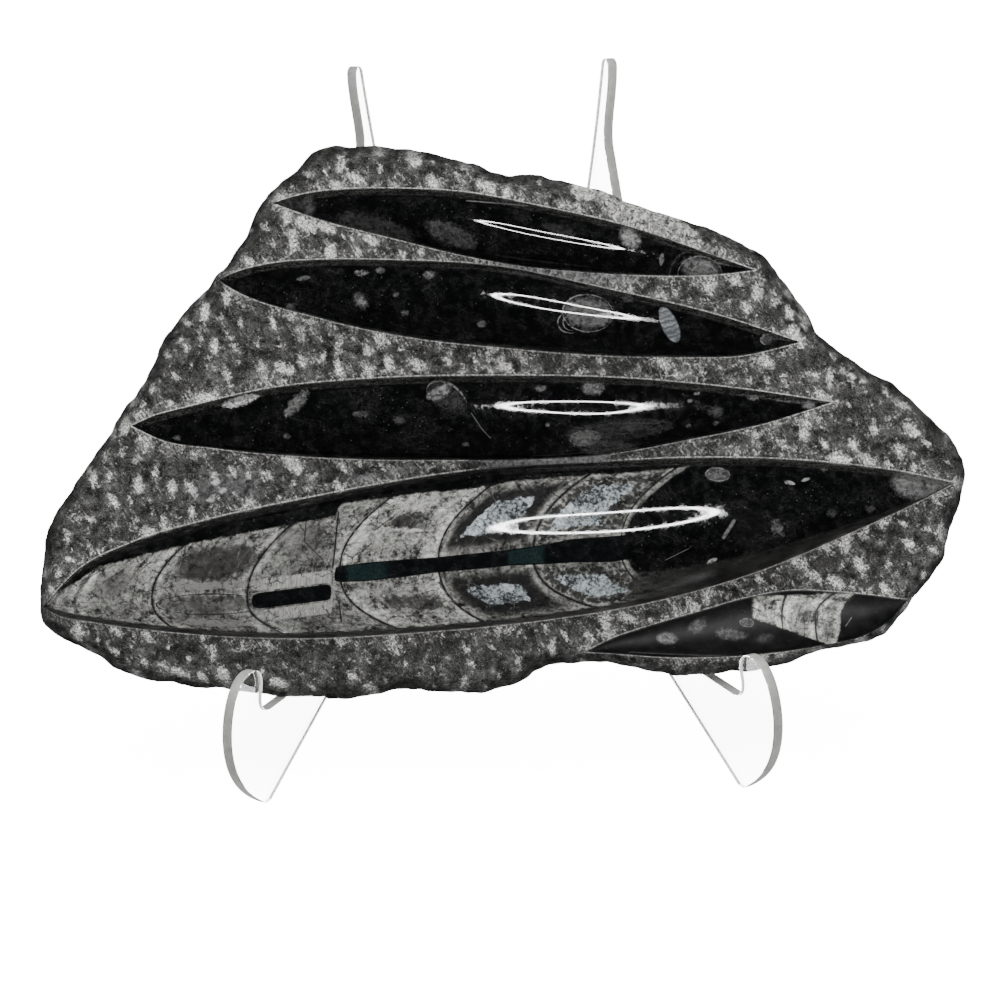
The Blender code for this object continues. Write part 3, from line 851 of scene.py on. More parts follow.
def makeTooledGround():
    made, shader = newMaterial("tooledGround")
    look = groundLook
    place = attribute("place", "Vector")
    strike, nick = attribute("strike"), attribute("nick")
    edge, rim = attribute("edge"), attribute("rim")
    grain = use(stoneGrain, Place=place, Coarse=0.33, Fine=2.4)
    gritty = between(grain["Tone"], 0.4, 0.62)
    hairs = use(fibres, Place=place, Turn=math.radians(look["streakTurn"]), Long=look["streakLong"],
                Wide=look["streakWide"])["Tone"]
    clumps = clouds(place, 0.16, 4.0, 0.6)
    wander = wires(node("ShaderNodeTexNoise", {"Vector": place, "Scale": 0.5, "Detail": 3.0}))
    shift = vectors("SUBTRACT", wander["Color"], (0.5, 0.5, 0.5))

    base = gritty * scaled(hairs, 0.4, 0.7)
    base = base * between(clumps, 0.3, 0.7, 0.55, 1.3)
    base = straight(base, 0.0, 1.2, look["dark"], look["mid"])
    base = base * between(rim, 0.3, look["rimWidth"], look["rimShade"], 1.0)

    # bruises from the chisel: ragged, streaked along the strokes, denser round the carved forms
    torn = clouds(place, 0.6, 6.0, 0.72, 1.2)
    sparkle = between(clouds(place, 1.7, 5.0, 0.85, 0.8), 0.4, 0.62)
    field = scaled(hairs - 0.5, 0.3, strike)
    field = scaled(clumps - 0.5, 1.0, field)
    field = scaled(torn - 0.5, 2.6, field)
    field = scaled(nick, 0.3, field)
    near = between(edge, 5.0, 0.6)
    field = scaled(near, 0.3, field)
    fuzz = between(field, -0.05, 0.7) * look["haze"]
    fuzz = fuzz * scaled(sparkle, 1.3, 0.3)
    bruised = between(field, 0.3, 1.0)
    bruised = bruised * scaled(sparkle, 0.75, 0.25)
    line = between(edge, 0.42, 0.12) * between(hairs, 0.0, 0.5, 0.35, 1.0)
    bruised = sums("MAXIMUM", bruised, line * 0.55)
    calm = between(rim, 0.8, look["rimWidth"], 0.2, 1.0)
    bruised = bruised * calm
    tone = scaled(fuzz, calm, base)
    colour = tinted(tone, 0.965)
    white = scaled(hairs, 0.25, 0.75) * scaled(sparkle, 0.7, 0.3)
    white = straight(white, 0.2, 0.9, *look["white"])
    whiteColour = tinted(white, 0.965)

    # paler fragments, and a few crystals in them
    for centre, half, turn, strength in look["fragments"]:
        mark = oval(place, shift, centre, half, turn, Soft=1.1, Wobble=3.5)
        amount = mark["Fill"] * between(torn, 0.38, 0.62, 0.0, 0.6)
        colour = blendOf(amount, colour, grey(strength, -0.01))
        bruised = bruised * scaled(mark["Fill"], -0.5, 1.0)
    colour = blendOf(bruised, colour, whiteColour)
    for centre, half in look["crystals"]:
        mark = oval(place, shift, centre, half, 28.6, Soft=0.5, Wobble=3.2)
        colour = blendOf(mark["Fill"] * scaled(sparkle, 0.6, 0.2), colour, grey(0.4, -0.01))
    ridges = use(waveringRidges, Place=place, Turn=math.radians(look["stemTurn"]), Step=look["stemStep"],
                 Wander=1.3)["Tone"]
    crack = scaled(between(ridges, 0.3, 0.02) * between(torn, 0.45, 0.55), -0.75, 1.0)
    for key in ("stemEnd", "stem", "lobe"):
        centre, half, turn, strength = look[key]
        mark = oval(place, shift, centre, half, turn, Soft=0.9, Wobble=3.0)
        shade = between(torn, 0.4, 0.6, 0.12, 1.6) * strength
        shade = shade * scaled(sparkle, 0.5, 0.75)
        if key != "lobe":
            shade = shade * crack
        shadeColour = tinted(shade, 0.95)
        colour = blendOf(mark["Fill"] * 0.85, colour, shadeColour)
    crumbs = use(paleSpecks, Place=place, Size=2.0, Share=look["crumbs"])
    colour = blendOf(crumbs["Mask"] * 0.35, colour, grey(0.3))
    feed(shader, {"Base Color": colour, "Specular IOR Level": 0.08,
                  "Roughness": between(bruised, 0.0, 1.0, 0.6, 0.9)})
    height = grain["Height"] + hairs * 0.35
    feed(shader, {"Normal": bump(height, 0.8, 0.5)})
    return made


polish = {
    "black": (0.0006, 0.0007, 0.0008, 1), "cloud": 0.009, "roughness": 0.035, "satin": 0.34, "specular": 0.22,
    # filled patches: centre, half size, turn, tone, wobble
    "patches": (
        ((-55.5, 70.6), (4.4, 1.7), -8, 0.016, 0.8), ((-51.2, 69.8), (1.5, 3.0), 0, 0.03, 0.6),
        ((-33.2, 62.9), (11, 3.0), -17, 0.016, 4.0), ((-11.8, 60.3), (7.6, 2.6), -24, 0.026, 4.0),
        ((38.0, 58.0), (3.1, 2.2), -52, 0.12, 1.6), ((57.6, 48.6), (5.2, 3.0), -14, 0.06, 1.5),
        ((46.6, 51.6), (1.7, 0.6), 80, 0.08, 1.0), ((18.0, 60.5), (5, 1.5), -20, 0.01, 3.0),
        ((-36.9, 50.2), (1.7, 0.7), 0, 0.065, 3.4), ((-31.5, 50.9), (1.2, 0.8), 0, 0.05, 2.0),
        ((-18.1, 49.2), (1.4, 1.0), 0, 0.06, 2.4), ((-53.2, 49.4), (2.0, 0.6), 6, 0.05, 0.6),
        ((-37.3, 42.6), (1.2, 2.1), 30, 0.075, 2.4), ((-27.4, 43.9), (0.9, 0.6), 0, 0.05, 1.0),
        ((-25.1, 38.8), (1.0, 0.7), 0, 0.04, 1.0), ((-3.9, 35.0), (1.2, 0.8), 0, 0.04, 1.5),
        ((-57.0, 41.8), (1.2, 0.8), 0, 0.035, 1.5), ((25.5, 37.1), (6.4, 4.2), -6, 0.05, 2.4),
        ((75.3, 28.4), (1.5, 1.1), 0, 0.03, 0.5), ((36.7, 40.9), (1.4, 1.0), 0, 0.03, 1.5),
        ((-14.3, 14.9), (5.6, 3.0), -36, 0.014, 2.0), ((-16.4, 16.4), (3.4, 1.5), 24, 0.085, 2.2),
        ((-71.8, 16.0), (5.0, 1.3), 13, 0.24, 3.0), ((-56.2, 14.6), (4.4, 1.6), 48, 0.06, 4.0),
        ((-38.3, 11.2), (2.1, 0.8), 0, 0.03, 2.0), ((-27.7, 9.2), (1.6, 1.0), 0, 0.02, 2.0),
        ((-9.5, 1.9), (0.8, 0.6), 0, 0.04, 0.8), ((-90.0, 6.2), (1.0, 0.6), 0, 0.05, 0.8),
        ((-59.0, 5.7), (1.0, 0.6), 0, 0.04, 0.8), ((11.7, 16.7), (1.5, 0.8), 0, 0.05, 2.4),
        ((26.3, 16.2), (2.9, 1.6), -6, 0.07, 2.6), ((23.6, 2.5), (4.0, 1.9), 4, 0.045, 0.7),
        ((13.4, 6.5), (0.6, 0.5), 0, 0.06, 0.4), ((55.3, 14.0), (0.9, 0.4), 10, 0.07, 0.6),
        ((53.2, 12.0), (0.7, 0.5), 0, 0.05, 0.6), ((60.4, 8.7), (1.8, 1.5), 0, 0.025, 2.5),
        ((70.8, 12.4), (1.8, 0.7), -8, 0.05, 1.2), ((60.3, 5.6), (0.7, 0.5), 0, 0.05, 0.6),
        ((52.7, 5.0), (0.7, 0.5), 0, 0.05, 0.6), ((86.7, 9.7), (1.8, 0.9), 0, 0.1, 1.5),
        ((60.0, -8.7), (3.2, 1.7), -4, 0.045, 0.6), ((89.7, -8.2), (1.0, 0.5), 0, 0.03, 1.0),
        ((68.8, -25.1), (5.6, 5.4), 0, 0.003, 5.0), ((75.6, -23.9), (1.5, 2.0), 15, 0.05, 6.0),
        ((79.7, -11.6), (1.5, 0.5), -14, 0.13, 0.5), ((84.3, -10.9), (1.2, 0.45), 16, 0.11, 0.5),
        ((57.3, -32.5), (1.5, 0.6), 28, 0.15, 0.6),
        ((90.9, -20.3), (1.5, 1.0), 0, 0.02, 2.0), ((101.8, -19.5), (1.5, 0.8), 0, 0.02, 2.0),
        ((64.4, -33.1), (1.7, 0.55), 30, 0.06, 1.2), ((58.0, -36.8), (1.0, 0.5), 30, 0.08, 0.8),
        ((53.3, -38.4), (0.9, 0.5), 30, 0.07, 0.8), ((49.4, -40.6), (0.8, 0.4), 30, 0.06, 0.8),
        ((97.7, -26.8), (3.5, 1.3), 18, 0.022, 1.5), ((118.4, -13.6), (9.8, 4.4), -7, 0.06, 1.0),
        ((44.9, -54.0), (2.7, 1.4), -6, 0.085, 0.7), ((53.4, -50.6), (2.6, 1.4), 25, 0.05, 2.2),
        ((67.0, -50.1), (1.7, 1.0), -8, 0.03, 0.6), ((62.7, -53.3), (4.3, 1.4), -8, 0.045, 3.0),
        ((71.9, -54.7), (2.2, 1.4), 0, 0.028, 2.0),
    ),
    # outlines: centre, half size, turn, tone, line width, how open, facing
    "outlines": (
        ((57.4, 46.6), (6.4, 5.6), -10, 0.1, 0.3, 1.0, 118),
    ((58.6, 46.6), (4.0, 3.2), -10, 0.12, 0.4, 1.0, 110),
        ((57.0, 46.8), (8.2, 7.4), -10, 0.02, 0.5, 1.0, 140),
    ((25.5, 37.1), (7.0, 5.2), -6, 0.12, 0.3, 0.5, 170),
        ((20.6, 34.7), (3.5, 3.0), 0, 0.11, 0.3, 1.0, 190),
    ((20.9, 34.5), (2.4, 2.1), 0, 0.09, 0.25, 1.0, 190),
        ((75.5, 28.4), (1.7, 1.5), 0, 0.13, 0.5, 1.0, 160),
    ((-14.3, 14.9), (6.2, 3.7), -36, 0.08, 0.5, 1.0, 110),
        ((23.6, 2.5), (4.1, 2.0), 4, 0.085, 0.2, 0.5, 150),
        ((35.0, -1.9), (0.8, 0.7), 0, 0.05, 0.2, 0.4, 90),
    ((38.6, -2.1), (1.2, 1.0), 0, 0.06, 0.22, 0.4, 120),
        ((41.0, -1.6), (1.0, 0.8), 0, 0.05, 0.2, 0.4, 60), ((43.6, -1.9), (0.7, 0.6), 0, 0.05, 0.18, 0.4, 90),
        ((60.0, -8.7), (3.3, 1.8), -4, 0.1, 0.24, 0.3, 200),
    ((97.7, -26.8), (3.7, 1.5), 18, 0.03, 0.25, 0.3, 200),
        ((119, -13.6), (11.0, 5.2), -7, 0.015, 0.4, 1.0, 180),
    ((44.9, -54.0), (2.8, 1.5), -6, 0.065, 0.18, 0.5, 180),
        ((67.0, -50.1), (1.8, 1.1), -8, 0.09, 0.22, 0.2, 180),
    ),
    # straight marks: start, end, width, tone; the first, along the top form's upper shoulder, is a painted
    # highlight
    "strokes": (
        ((-7.1, 69.5), (9.7, 67.8), 0.28, 0.06), ((-78.5, 50.2), (-70.5, 52.6), 0.25, 0.05),
        ((60.6, -26.0), (63.6, -21.6), 0.7, 0.06), ((44.4, -31.7), (51.0, -28.7), 0.13, 0.05),
        ((94.5, -52.0), (96.2, -49.6), 0.18, 0.1), ((-7.6, 10.4), (-4.9, 6.0), 0.16, 0.05),
        ((-4.9, 6.0), (-2.6, 3.4), 0.15, 0.05), ((34.3, -57.6), (66.2, -60.0), 0.16, 0.05),
    ),
}

# inside the largest shell
inShell = {
    # patches: centre, half size, turn, tone, strength, wobble
    "patches": (
        ((-78.8, -28.4), (11.6, 4.8), 6, 0.011, 0.85, 4.5), ((-80.0, -34.8), (11.5, 1.0), 2, 0.085, 0.9, 1.0),
        ((-80.0, -45.3), (10, 1.2), -3, 0.085, 0.8, 1.2), ((-82.0, -40.0), (12.5, 2.4), -1, 0.022, 0.6, 1.5),
        ((-55.5, -22.5), (7, 4.5), 20, 0.02, 0.5, 5.0),
        ((-25.6, -18.5), (5, 2.0), 10, 0.009, 0.9, 3.5), ((-25.6, -21.2), (3.9, 0.5), -4, 0.22, 0.9, 0.8),
        ((-24.6, -41.3), (7.5, 2.0), -6, 0.011, 0.85, 4.0), ((1.0, -18.0), (9.2, 6.0), 10, 0.012, 0.6, 4.5),
        ((0.0, -39.8), (9.5, 4.6), -10, 0.008, 0.8, 4.5), ((-108, -34), (5.5, 3.5), 25, 0.03, 0.5, 4.0),
    ),
    # straight dark marks: start, end, width, tone
    "strokes": (
        ((-118.7, -41.1), (-118.8, -36.6), 0.14, 0.015), ((-118.8, -36.6), (-115.3, -32.2), 0.14, 0.015),
        ((-115.3, -32.2), (-107.5, -27.5), 0.14, 0.015), ((-45.0, -15.8), (-46.1, -26.4), 0.3, 0.005),
        ((-46.1, -26.4), (-46.8, -30.8), 0.3, 0.005), ((-45.6, -40.2), (-45.3, -46.0), 0.28, 0.005),
        ((-53.9, -17.4), (-54.4, -23.4), 0.22, 0.008), ((-54.4, -23.4), (-49.5, -28.5), 0.2, 0.008),
        ((-35.0, -21.0), (-29.6, -17.2), 0.2, 0.012), ((-38.7, -26.7), (-35.9, -24.4), 0.22, 0.012),
        ((-88.0, -48.0), (-71.0, -49.0), 0.5, 0.01),
    ),
    "bed": ((-81.0, -40.0), (15.0, 2.9), -1.0),  # the tube's blunt end inside the third chamber
}


def makePolished():
    made, shader = newMaterial("polishedLimestone")
    place = attribute("place", "Vector")
    cell, across, chamber = attribute("cell"), attribute("across"), attribute("chamber")
    fossil, tube, look = attribute("fossil"), attribute("tube"), attribute("look", "Vector")
    edge, flank = attribute("edge"), attribute("flank")
    parts = wires(node("ShaderNodeSeparateXYZ", (place,)))
    lookParts = wires(node("ShaderNodeSeparateXYZ", (look,)))
    grain = use(stoneGrain, Place=place, Coarse=0.28, Fine=2.6)
    gritty = between(grain["Tone"], 0.36, 0.66)
    wander = wires(node("ShaderNodeTexNoise",
                        {"Vector": place, "Scale": 0.5, "Detail": 4.0, "Roughness": 0.65}))
    shift = vectors("SUBTRACT", wander["Color"], (0.5, 0.5, 0.5))
    ragged = put("ShaderNodeVectorMath", {0: shift, "Scale": 3.2}, operation="SCALE")
    ragged = vectors("ADD", place, ragged)
    soft = clouds(place, 1.1, 4.0, 0.7)

    # black stone with pale crumbs and faint clouds
    cloud = clouds(place, 0.085, 4.0, 0.6, 0.8)
    clouded = between(cloud, 0.48, 0.75) * between(soft, 0.4, 0.65)
    colour = blendOf(clouded, polish["black"], grey(polish["cloud"]))
    crumbs = use(paleSpecks, Place=place, Size=1.5, Share=0.05)
    colour = blendOf(crumbs["Mask"] * 0.45, colour, grey(0.07, 0.02))
    dust = use(paleSpecks, Place=place, Size=4.2, Share=0.22)
    colour = blendOf(dust["Mask"] * 0.4, colour, grey(0.045))

    # painted sheen strips, also satin-rough: grey painted reflections along every upper edge, and below on
    # the largest form
    drawn = use(fibres, Place=ragged, Turn=0.0, Long=16.0, Wide=0.5)["Tone"]
    sheenStreaks = straight(soft + drawn, 0.6, 1.4, 0.05, 1.7)
    above = between(flank, 0.0, 0.2)
    below = between(flank, 0.0, -0.2)
    inLargest = sums("GREATER_THAN", parts["Y"], scaled(parts["X"], 0.2, -55.0))
    inCut = 1.0 - inLargest
    inLargest = inLargest * between(parts["Y"], -3.0, -3.6)
    upperWidth = scaled(wander["Fac"], 0.5, 1.9)
    above = above * (1.0 - inCut)
    upperPaintedSheen = above * between(edge + upperWidth, -0.3, 0.3)
    leftward = inLargest * between(parts["X"], 45, -15)
    upperPaintedSheen = upperPaintedSheen * scaled(leftward, -0.85, 1.0)
    upperPaintedSheen = upperPaintedSheen * scaled(sheenStreaks, 0.4, 0.25)
    upperLine = abs(edge + upperWidth + 0.35)
    # a painted dark line under the upper painted sheen strip
    colour = blendOf(above * between(upperLine, 0.4, 0.15), colour, grey(0.0008))
    underShell = between(edge, -2.0, -1.75) * between(parts["X"], 58, 44)
    wide = straight(parts["X"], 36.0, 118.0, 9.6, 0.6)
    wide = between(edge + wide, -0.5, 0.5) * between(parts["X"], 32, 38)
    lowerPaintedSheen = sums("MAXIMUM", underShell, wide) * below * inLargest
    upperSheenTone = sheenStreaks * 0.0075
    upperSheenColour = tinted(upperSheenTone, 0.93)
    lowerSheenTone = sheenStreaks * between(parts["X"], 30, 60, 0.017, 0.0065)
    lowerSheenColour = tinted(lowerSheenTone, 0.93)
    # painted reflections: a grey sheen band and a patch low on the third form, and a painted lit strip over
    # the saddle; the same mask also raises the roughness there
    sheen = oval(place, shift, (33.5, 4.6), (15, 2.6), 3, Soft=1.4, Wobble=1.0)["Fill"]
    corner = oval(place, shift, (31, -0.9), (8.5, 2.4), -6, Soft=1.2, Wobble=1.0)["Fill"]
    paintedSheenAndSatin = sums("MAXIMUM", sheen * 0.3, corner * 0.6)
    paintedSheenAndSatin = sums("MAXIMUM", paintedSheenAndSatin, between(edge, 0.0, 0.4))
    paintedSheenAndSatin = paintedSheenAndSatin * sheenStreaks
    colour = blendOf(paintedSheenAndSatin, colour, grey(0.03, 0.01))

    crumpled = put("ShaderNodeTexNoise", {"Vector": place, "Scale": 0.9, "Detail": 5.0, "Roughness": 0.7},
                   output=1)
    crumpled = vectors("SUBTRACT", crumpled, (0.5, 0.5, 0.5))
    veil = clouds(ragged, 0.75, 5.0, 0.75, 0.5)
    veiled = between(veil, 0.36, 0.62, 0.12, 1.0) * scaled(drawn, 0.6, 0.6)
    for centre, half, turn, tone, wobble in polish["patches"]:
        mark = oval(place, crumpled, centre, half, turn, Soft=min(1.2, 0.45 * half[1] + 0.05),
                   Wobble=0.8 * wobble + 0.9 * half[1])
        colour = blendOf(mark["Fill"] * veiled, colour, grey(tone * 1.2, 0.01))
    for centre, half, turn, tone, line, opened, facing in polish["outlines"]:
        mark = oval(place, shift, centre, half, turn, Line=line, Wobble=0.7, Open=opened,
                    Facing=math.radians(facing))
        strength = between(soft, 0.4, 0.56, 0.1, 1.0)
        colour = blendOf(mark["Outline"] * strength, colour, grey(tone * 0.7, 0.01))
    for start, end, width, tone in polish["strokes"]:
        mark = use(strokeMark, Place=place, Start=(*start, 0), End=(*end, 0), Width=width)["Mask"]
        colour = blendOf(mark * between(soft, 0.3, 0.6, 0.3, 1.0), colour, grey(tone))
    # scales across the slug in the second form
    slug = oval(place, shift, (48.1, 33.3), (5.3, 2.2), -68, Soft=0.3, Wobble=0.8)["Fill"]
    scales = use(waveringRidges, Place=place, Turn=math.radians(-68), Step=1.5, Wander=0.9)["Tone"]
    slugTone = scaled(scales * gritty, 0.13, 0.04)
    slugColour = tinted(slugTone, 1.06, 0.93)
    colour = blendOf(slug * 0.9, colour, slugColour)

    # the chambered shell
    part = sums("FRACT", cell)
    half = 0.5 - abs(part - 0.5)
    fromWall = half * chamber
    bandPlace = put("ShaderNodeCombineXYZ", (cell * 11.0, across * 2.6, 0.0))
    bands = clouds(bandPlace, 1.0, 5.0, 0.66, 0.8)
    clumps = clouds(place, 0.19, 5.0, 0.62, 1.0)
    mottled = bands * 0.3 + soft * 0.3
    mottled = scaled(clumps, 0.4, mottled)
    tone = lookParts["X"] * between(mottled, 0.39, 0.6, 0.05, 1.9)
    grainLines = use(fibres, Place=ragged, Turn=math.radians(6), Long=5.0, Wide=0.6)["Tone"]
    tone = tone * scaled(grainLines, 0.9, 0.5)
    tone = tone * scaled(gritty, 0.5, 0.72)
    # a darker heart in each chamber, above and below the tube
    away = (part - 0.52) / 0.3
    side = (abs(across) - 0.5) / 0.36
    heart = sums("SQRT", away * away + side * side)
    heart = heart + scaled(wander["Fac"], 1.9, -0.95)
    darkness = between(heart, 1.15, 0.55) * lookParts["Y"]
    tone = tone * (1.0 - darkness * 0.86)
    # paler strip each side of a wall
    strip = between(fromWall, 0.4, 0.9) * between(fromWall, 2.6, 1.2)
    tone = tone * scaled(strip, 0.5, 1.0)
    shellColour = tinted(tone, 0.93)
    for centre, size, turn, level, strength, wobble in inShell["patches"]:
        mark = oval(place, shift, centre, size, turn, Soft=0.9 if size[1] > 2 else 0.4, Wobble=wobble)
        amount = mark["Fill"] * between(soft, 0.33, 0.55, 0.45 * strength, strength)
        shellColour = blendOf(amount, shellColour, grey(level, 0.03))
    # paler beds along the tube's buried end
    bedSide = between(tube, -0.3, -0.7) * between(tube, -4.1, -3.4)
    bedRun = between(parts["X"], -70, -64) * between(parts["X"], -47.0, -47.8)
    stripes = use(fibres, Place=place, Turn=math.radians(84), Long=6.0, Wide=0.55)["Tone"]
    bedTone = scaled(stripes, 0.12, 0.07)
    bedColour = tinted(bedTone, 0.93)
    shellColour = blendOf(bedSide * bedRun, shellColour, bedColour)
    # calcite crystals: bluish white facets, with a dark dotted rim
    facets = put("ShaderNodeTexVoronoi", {"Vector": ragged, "Scale": 0.27}, output=1)
    facetTone = put("ShaderNodeSeparateColor", (facets,), output=1)
    glints = scaled(facetTone, 0.55, between(soft, 0.34, 0.66) * 0.55)
    icy = straight(glints, 0.24, 0.95, 0.012, 0.27)
    icyColour = tinted(icy, 1.04, 0.9)
    dots = put("ShaderNodeTexVoronoi", {"Vector": place, "Scale": 0.8})
    dotted = between(dots, 0.82, 0.5)
    inner = sums("MINIMUM", sums("MINIMUM", fromWall, fossil), -0.3 - tube)
    inner = scaled(wander["Fac"] - 0.5, 3.0, inner)
    depth = between(cell, 5.95, 6.05, 4.7, 3.0)
    past = inner - depth
    band = between(past, -2.5, -1.7) * between(past, 0.5, -0.1)
    band = band * dotted
    shellColour = blendOf(band * 0.9 * lookParts["Z"], shellColour, grey(0.004))
    sooty = between(past, -4.2, -2.0) * between(past, 1.6, 0.4)
    sooty = sooty * between(clumps, 0.33, 0.48) * between(cell, 6.05, 5.95, 0.0, 1.0)
    sooty = sooty * lookParts["Z"] * between(soft, 0.3, 0.5, 0.6, 1.0)
    shellColour = blendOf(sooty, shellColour, grey(0.006, 0.02))
    crystal = between(past, -0.2, 0.3) * lookParts["Z"]
    shellColour = blendOf(crystal, shellColour, icyColour)
    # cracks, the tube's blunt end, and the walls
    cracks = use(thinVeins, Place=ragged, Size=5.5, Width=0.26)["Mask"]
    shellColour = blendOf(cracks * 0.9, shellColour, grey(0.004))
    pale = use(thinVeins, Place=vectors("ADD", ragged, (31.0, 17.0, 0.0)), Size=9.0, Width=0.16)["Mask"]
    shellColour = blendOf(pale * 0.3, shellColour, grey(0.14))
    bed, bedHalf, bedTurn = inShell["bed"]
    rounded = oval(place, shift, bed, bedHalf, bedTurn, Line=0.3, Wobble=0.5)
    inChamber = between(parts["X"], -69.8, -70.6)
    shellColour = blendOf(rounded["Outline"] * inChamber, shellColour, grey(0.01))
    for start, end, width, level in inShell["strokes"]:
        mark = use(strokeMark, Place=place, Start=(*start, 0), End=(*end, 0), Width=width)["Mask"]
        shellColour = blendOf(mark, shellColour, grey(level))
    # the last wall is double, with a paler strip between its lines
    lastWall = between(cell, 6.45, 6.5) * sums("LESS_THAN", cell, 7.0)
    doubled = lastWall * between(fromWall, 1.75, 1.5)
    shellColour = blendOf(doubled * 0.35, shellColour, grey(0.03))
    second = abs(fromWall - 1.7)
    shellColour = blendOf(lastWall * between(second, 0.28, 0.1), shellColour, grey(0.006))
    wavy = fromWall + scaled(wander["Fac"], 0.5, -0.25)
    nearFirst = abs(cell - 1.0)
    faint = between(nearFirst, 0.5, 0.6, 0.35, 1.0)
    wall = between(wavy, 0.4, 0.14) * (faint * between(soft, 0.32, 0.5, 0.5, 1.0))
    shellColour = blendOf(wall, shellColour, grey(0.004))
    shellColour = blendOf(between(tube, -0.12, 0.12), shellColour, (0.0012, 0.0014, 0.0016, 1))
    tealRun = sums("MAXIMUM", between(parts["X"], -44, -42) * between(parts["X"], -30, -34),
                   between(parts["X"], 0.5, 2) * between(parts["X"], 12, 10))
    teal = between(tube, 0.1, 0.6) * tealRun * between(soft, 0.3, 0.6, 0.4, 1.0)
    shellColour = blendOf(teal, shellColour, (0.004, 0.0085, 0.0088, 1))
    edgeNoise = fossil + scaled(wander["Fac"], 1.6, -0.8)
    colour = blendOf(between(edgeNoise, -0.25, 0.5), colour, shellColour)

    # the painted sheen strips: grey painted reflections on the flanks
    colour = blendOf(upperPaintedSheen * 0.85, colour, upperSheenColour)
    colour = blendOf(lowerPaintedSheen * 0.9, colour, lowerSheenColour)
    thinEdge = between(edge, -0.35, -0.05) * between(soft, 0.35, 0.6)
    colour = blendOf(thinEdge * 0.5, colour, grey(0.11))

    marks = use(fineScratches, Place=place, Density=0.8)
    colour = blendOf(marks["Mask"] * 0.1, colour, grey(0.1))
    feed(shader, {"Base Color": colour})
    strips = sums("MAXIMUM", sums("MAXIMUM", upperPaintedSheen, lowerPaintedSheen), paintedSheenAndSatin * 0.3)
    strips = sums("MAXIMUM", strips, inCut * 1.6)
    strips = sums("MAXIMUM", strips, between(edge, -0.2, 0.3) * 1.5)
    rough = scaled(strips, polish["satin"], polish["roughness"])
    rough = scaled(marks["Mask"], 0.06, rough)
    feed(shader, {"Roughness": rough, "Specular IOR Level": polish["specular"]})
    height = marks["Height"] + grain["Tone"] * 0.3
    feed(shader, {"Normal": bump(height, 0.035, 0.02)})
    return made


# the broken sides and the sawn back

def makeBrokenSide():
    made, shader = newMaterial("brokenSide")
    place = attribute("place", "Vector")
    grain = use(stoneGrain, Place=place, Coarse=0.22, Fine=1.9)
    base = straight(grain["Tone"], 0.3, 0.72, 0.018, 0.06)
    colour = tinted(base, 0.97)
    patch = clouds(place, 0.2, 5.0, 0.7)
    colour = blendOf(between(patch, 0.58, 0.75, 0.0, 0.5), colour, grey(0.2, 0.02))
    crumbs = use(paleSpecks, Place=place, Size=1.8, Share=0.12)
    colour = blendOf(crumbs["Mask"] * 0.5, colour, grey(0.35))
    feed(shader, {"Base Color": colour, "Roughness": between(grain["Tone"], 0.3, 0.7, 0.6, 0.85),
                  "Specular IOR Level": 0.12, "Normal": bump(grain["Height"], 0.8, 0.5)})
    return made


def makeSawnBack():
    made, shader = newMaterial("sawnBack")
    place = attribute("place", "Vector")
    grain = use(stoneGrain, Place=place, Coarse=0.16, Fine=1.6)
    # shallow arcs left by the saw
    centred = vectors("SUBTRACT", place, (40.0, -420.0, 0.0))
    radius = vectors("LENGTH", vectors("MULTIPLY", centred, (1, 1, 0)))
    arcs = put("ShaderNodeTexNoise", {"Vector": put("ShaderNodeCombineXYZ", (radius, 0.0, 0.0)),
                                      "Scale": 0.9, "Detail": 3.0, "Roughness": 0.7})
    tone = grain["Tone"] * 0.75 + arcs * 0.25
    base = straight(tone, 0.32, 0.7, 0.055, 0.105)
    colour = tinted(base, 0.975)
    veins = put("ShaderNodeTexVoronoi", {"Vector": place, "Scale": 0.021}, feature="DISTANCE_TO_EDGE")
    ragged = veins + scaled(grain["Tone"], 0.03, -0.015)
    colour = blendOf(between(ragged, 0.008, 0.001) * 0.6, colour, grey(0.32, 0.03))
    crumbs = use(paleSpecks, Place=place, Size=0.9, Share=0.1)
    colour = blendOf(crumbs["Mask"] * 0.45, colour, grey(0.24))
    feed(shader, {"Base Color": colour, "Roughness": between(arcs, 0.3, 0.7, 0.5, 0.7),
                  "Specular IOR Level": 0.25})
    height = arcs * 1.2 + grain["Height"] * 0.3
    feed(shader, {"Normal": bump(height, 0.35, 0.25)})
    return made


# chisel strikes and broken edges, by geometry nodes

chisel = {
    # lengths in millimetres, by the names of the node tree's inputs
    "lengths": {
        "Strike Spacing": 4.7, "Strike Length": 2.6, "Strike Width": 1.25,
        "Strike Depth": 0.75, "Strike Lip": 0.28,
        "Nick Spacing": 2.9, "Nick Length": 1.1, "Nick Width": 0.7,
        "Nick Depth": 0.22, "Nick Lip": 0.08,
        "Unevenness": 0.5, "Break Depth": 1.1,
    },
    "angles": {"Turn": 120.0, "Turn Spread": 42.0},  # of a strike, from the face's right, in degrees
    "seed": 11,
}


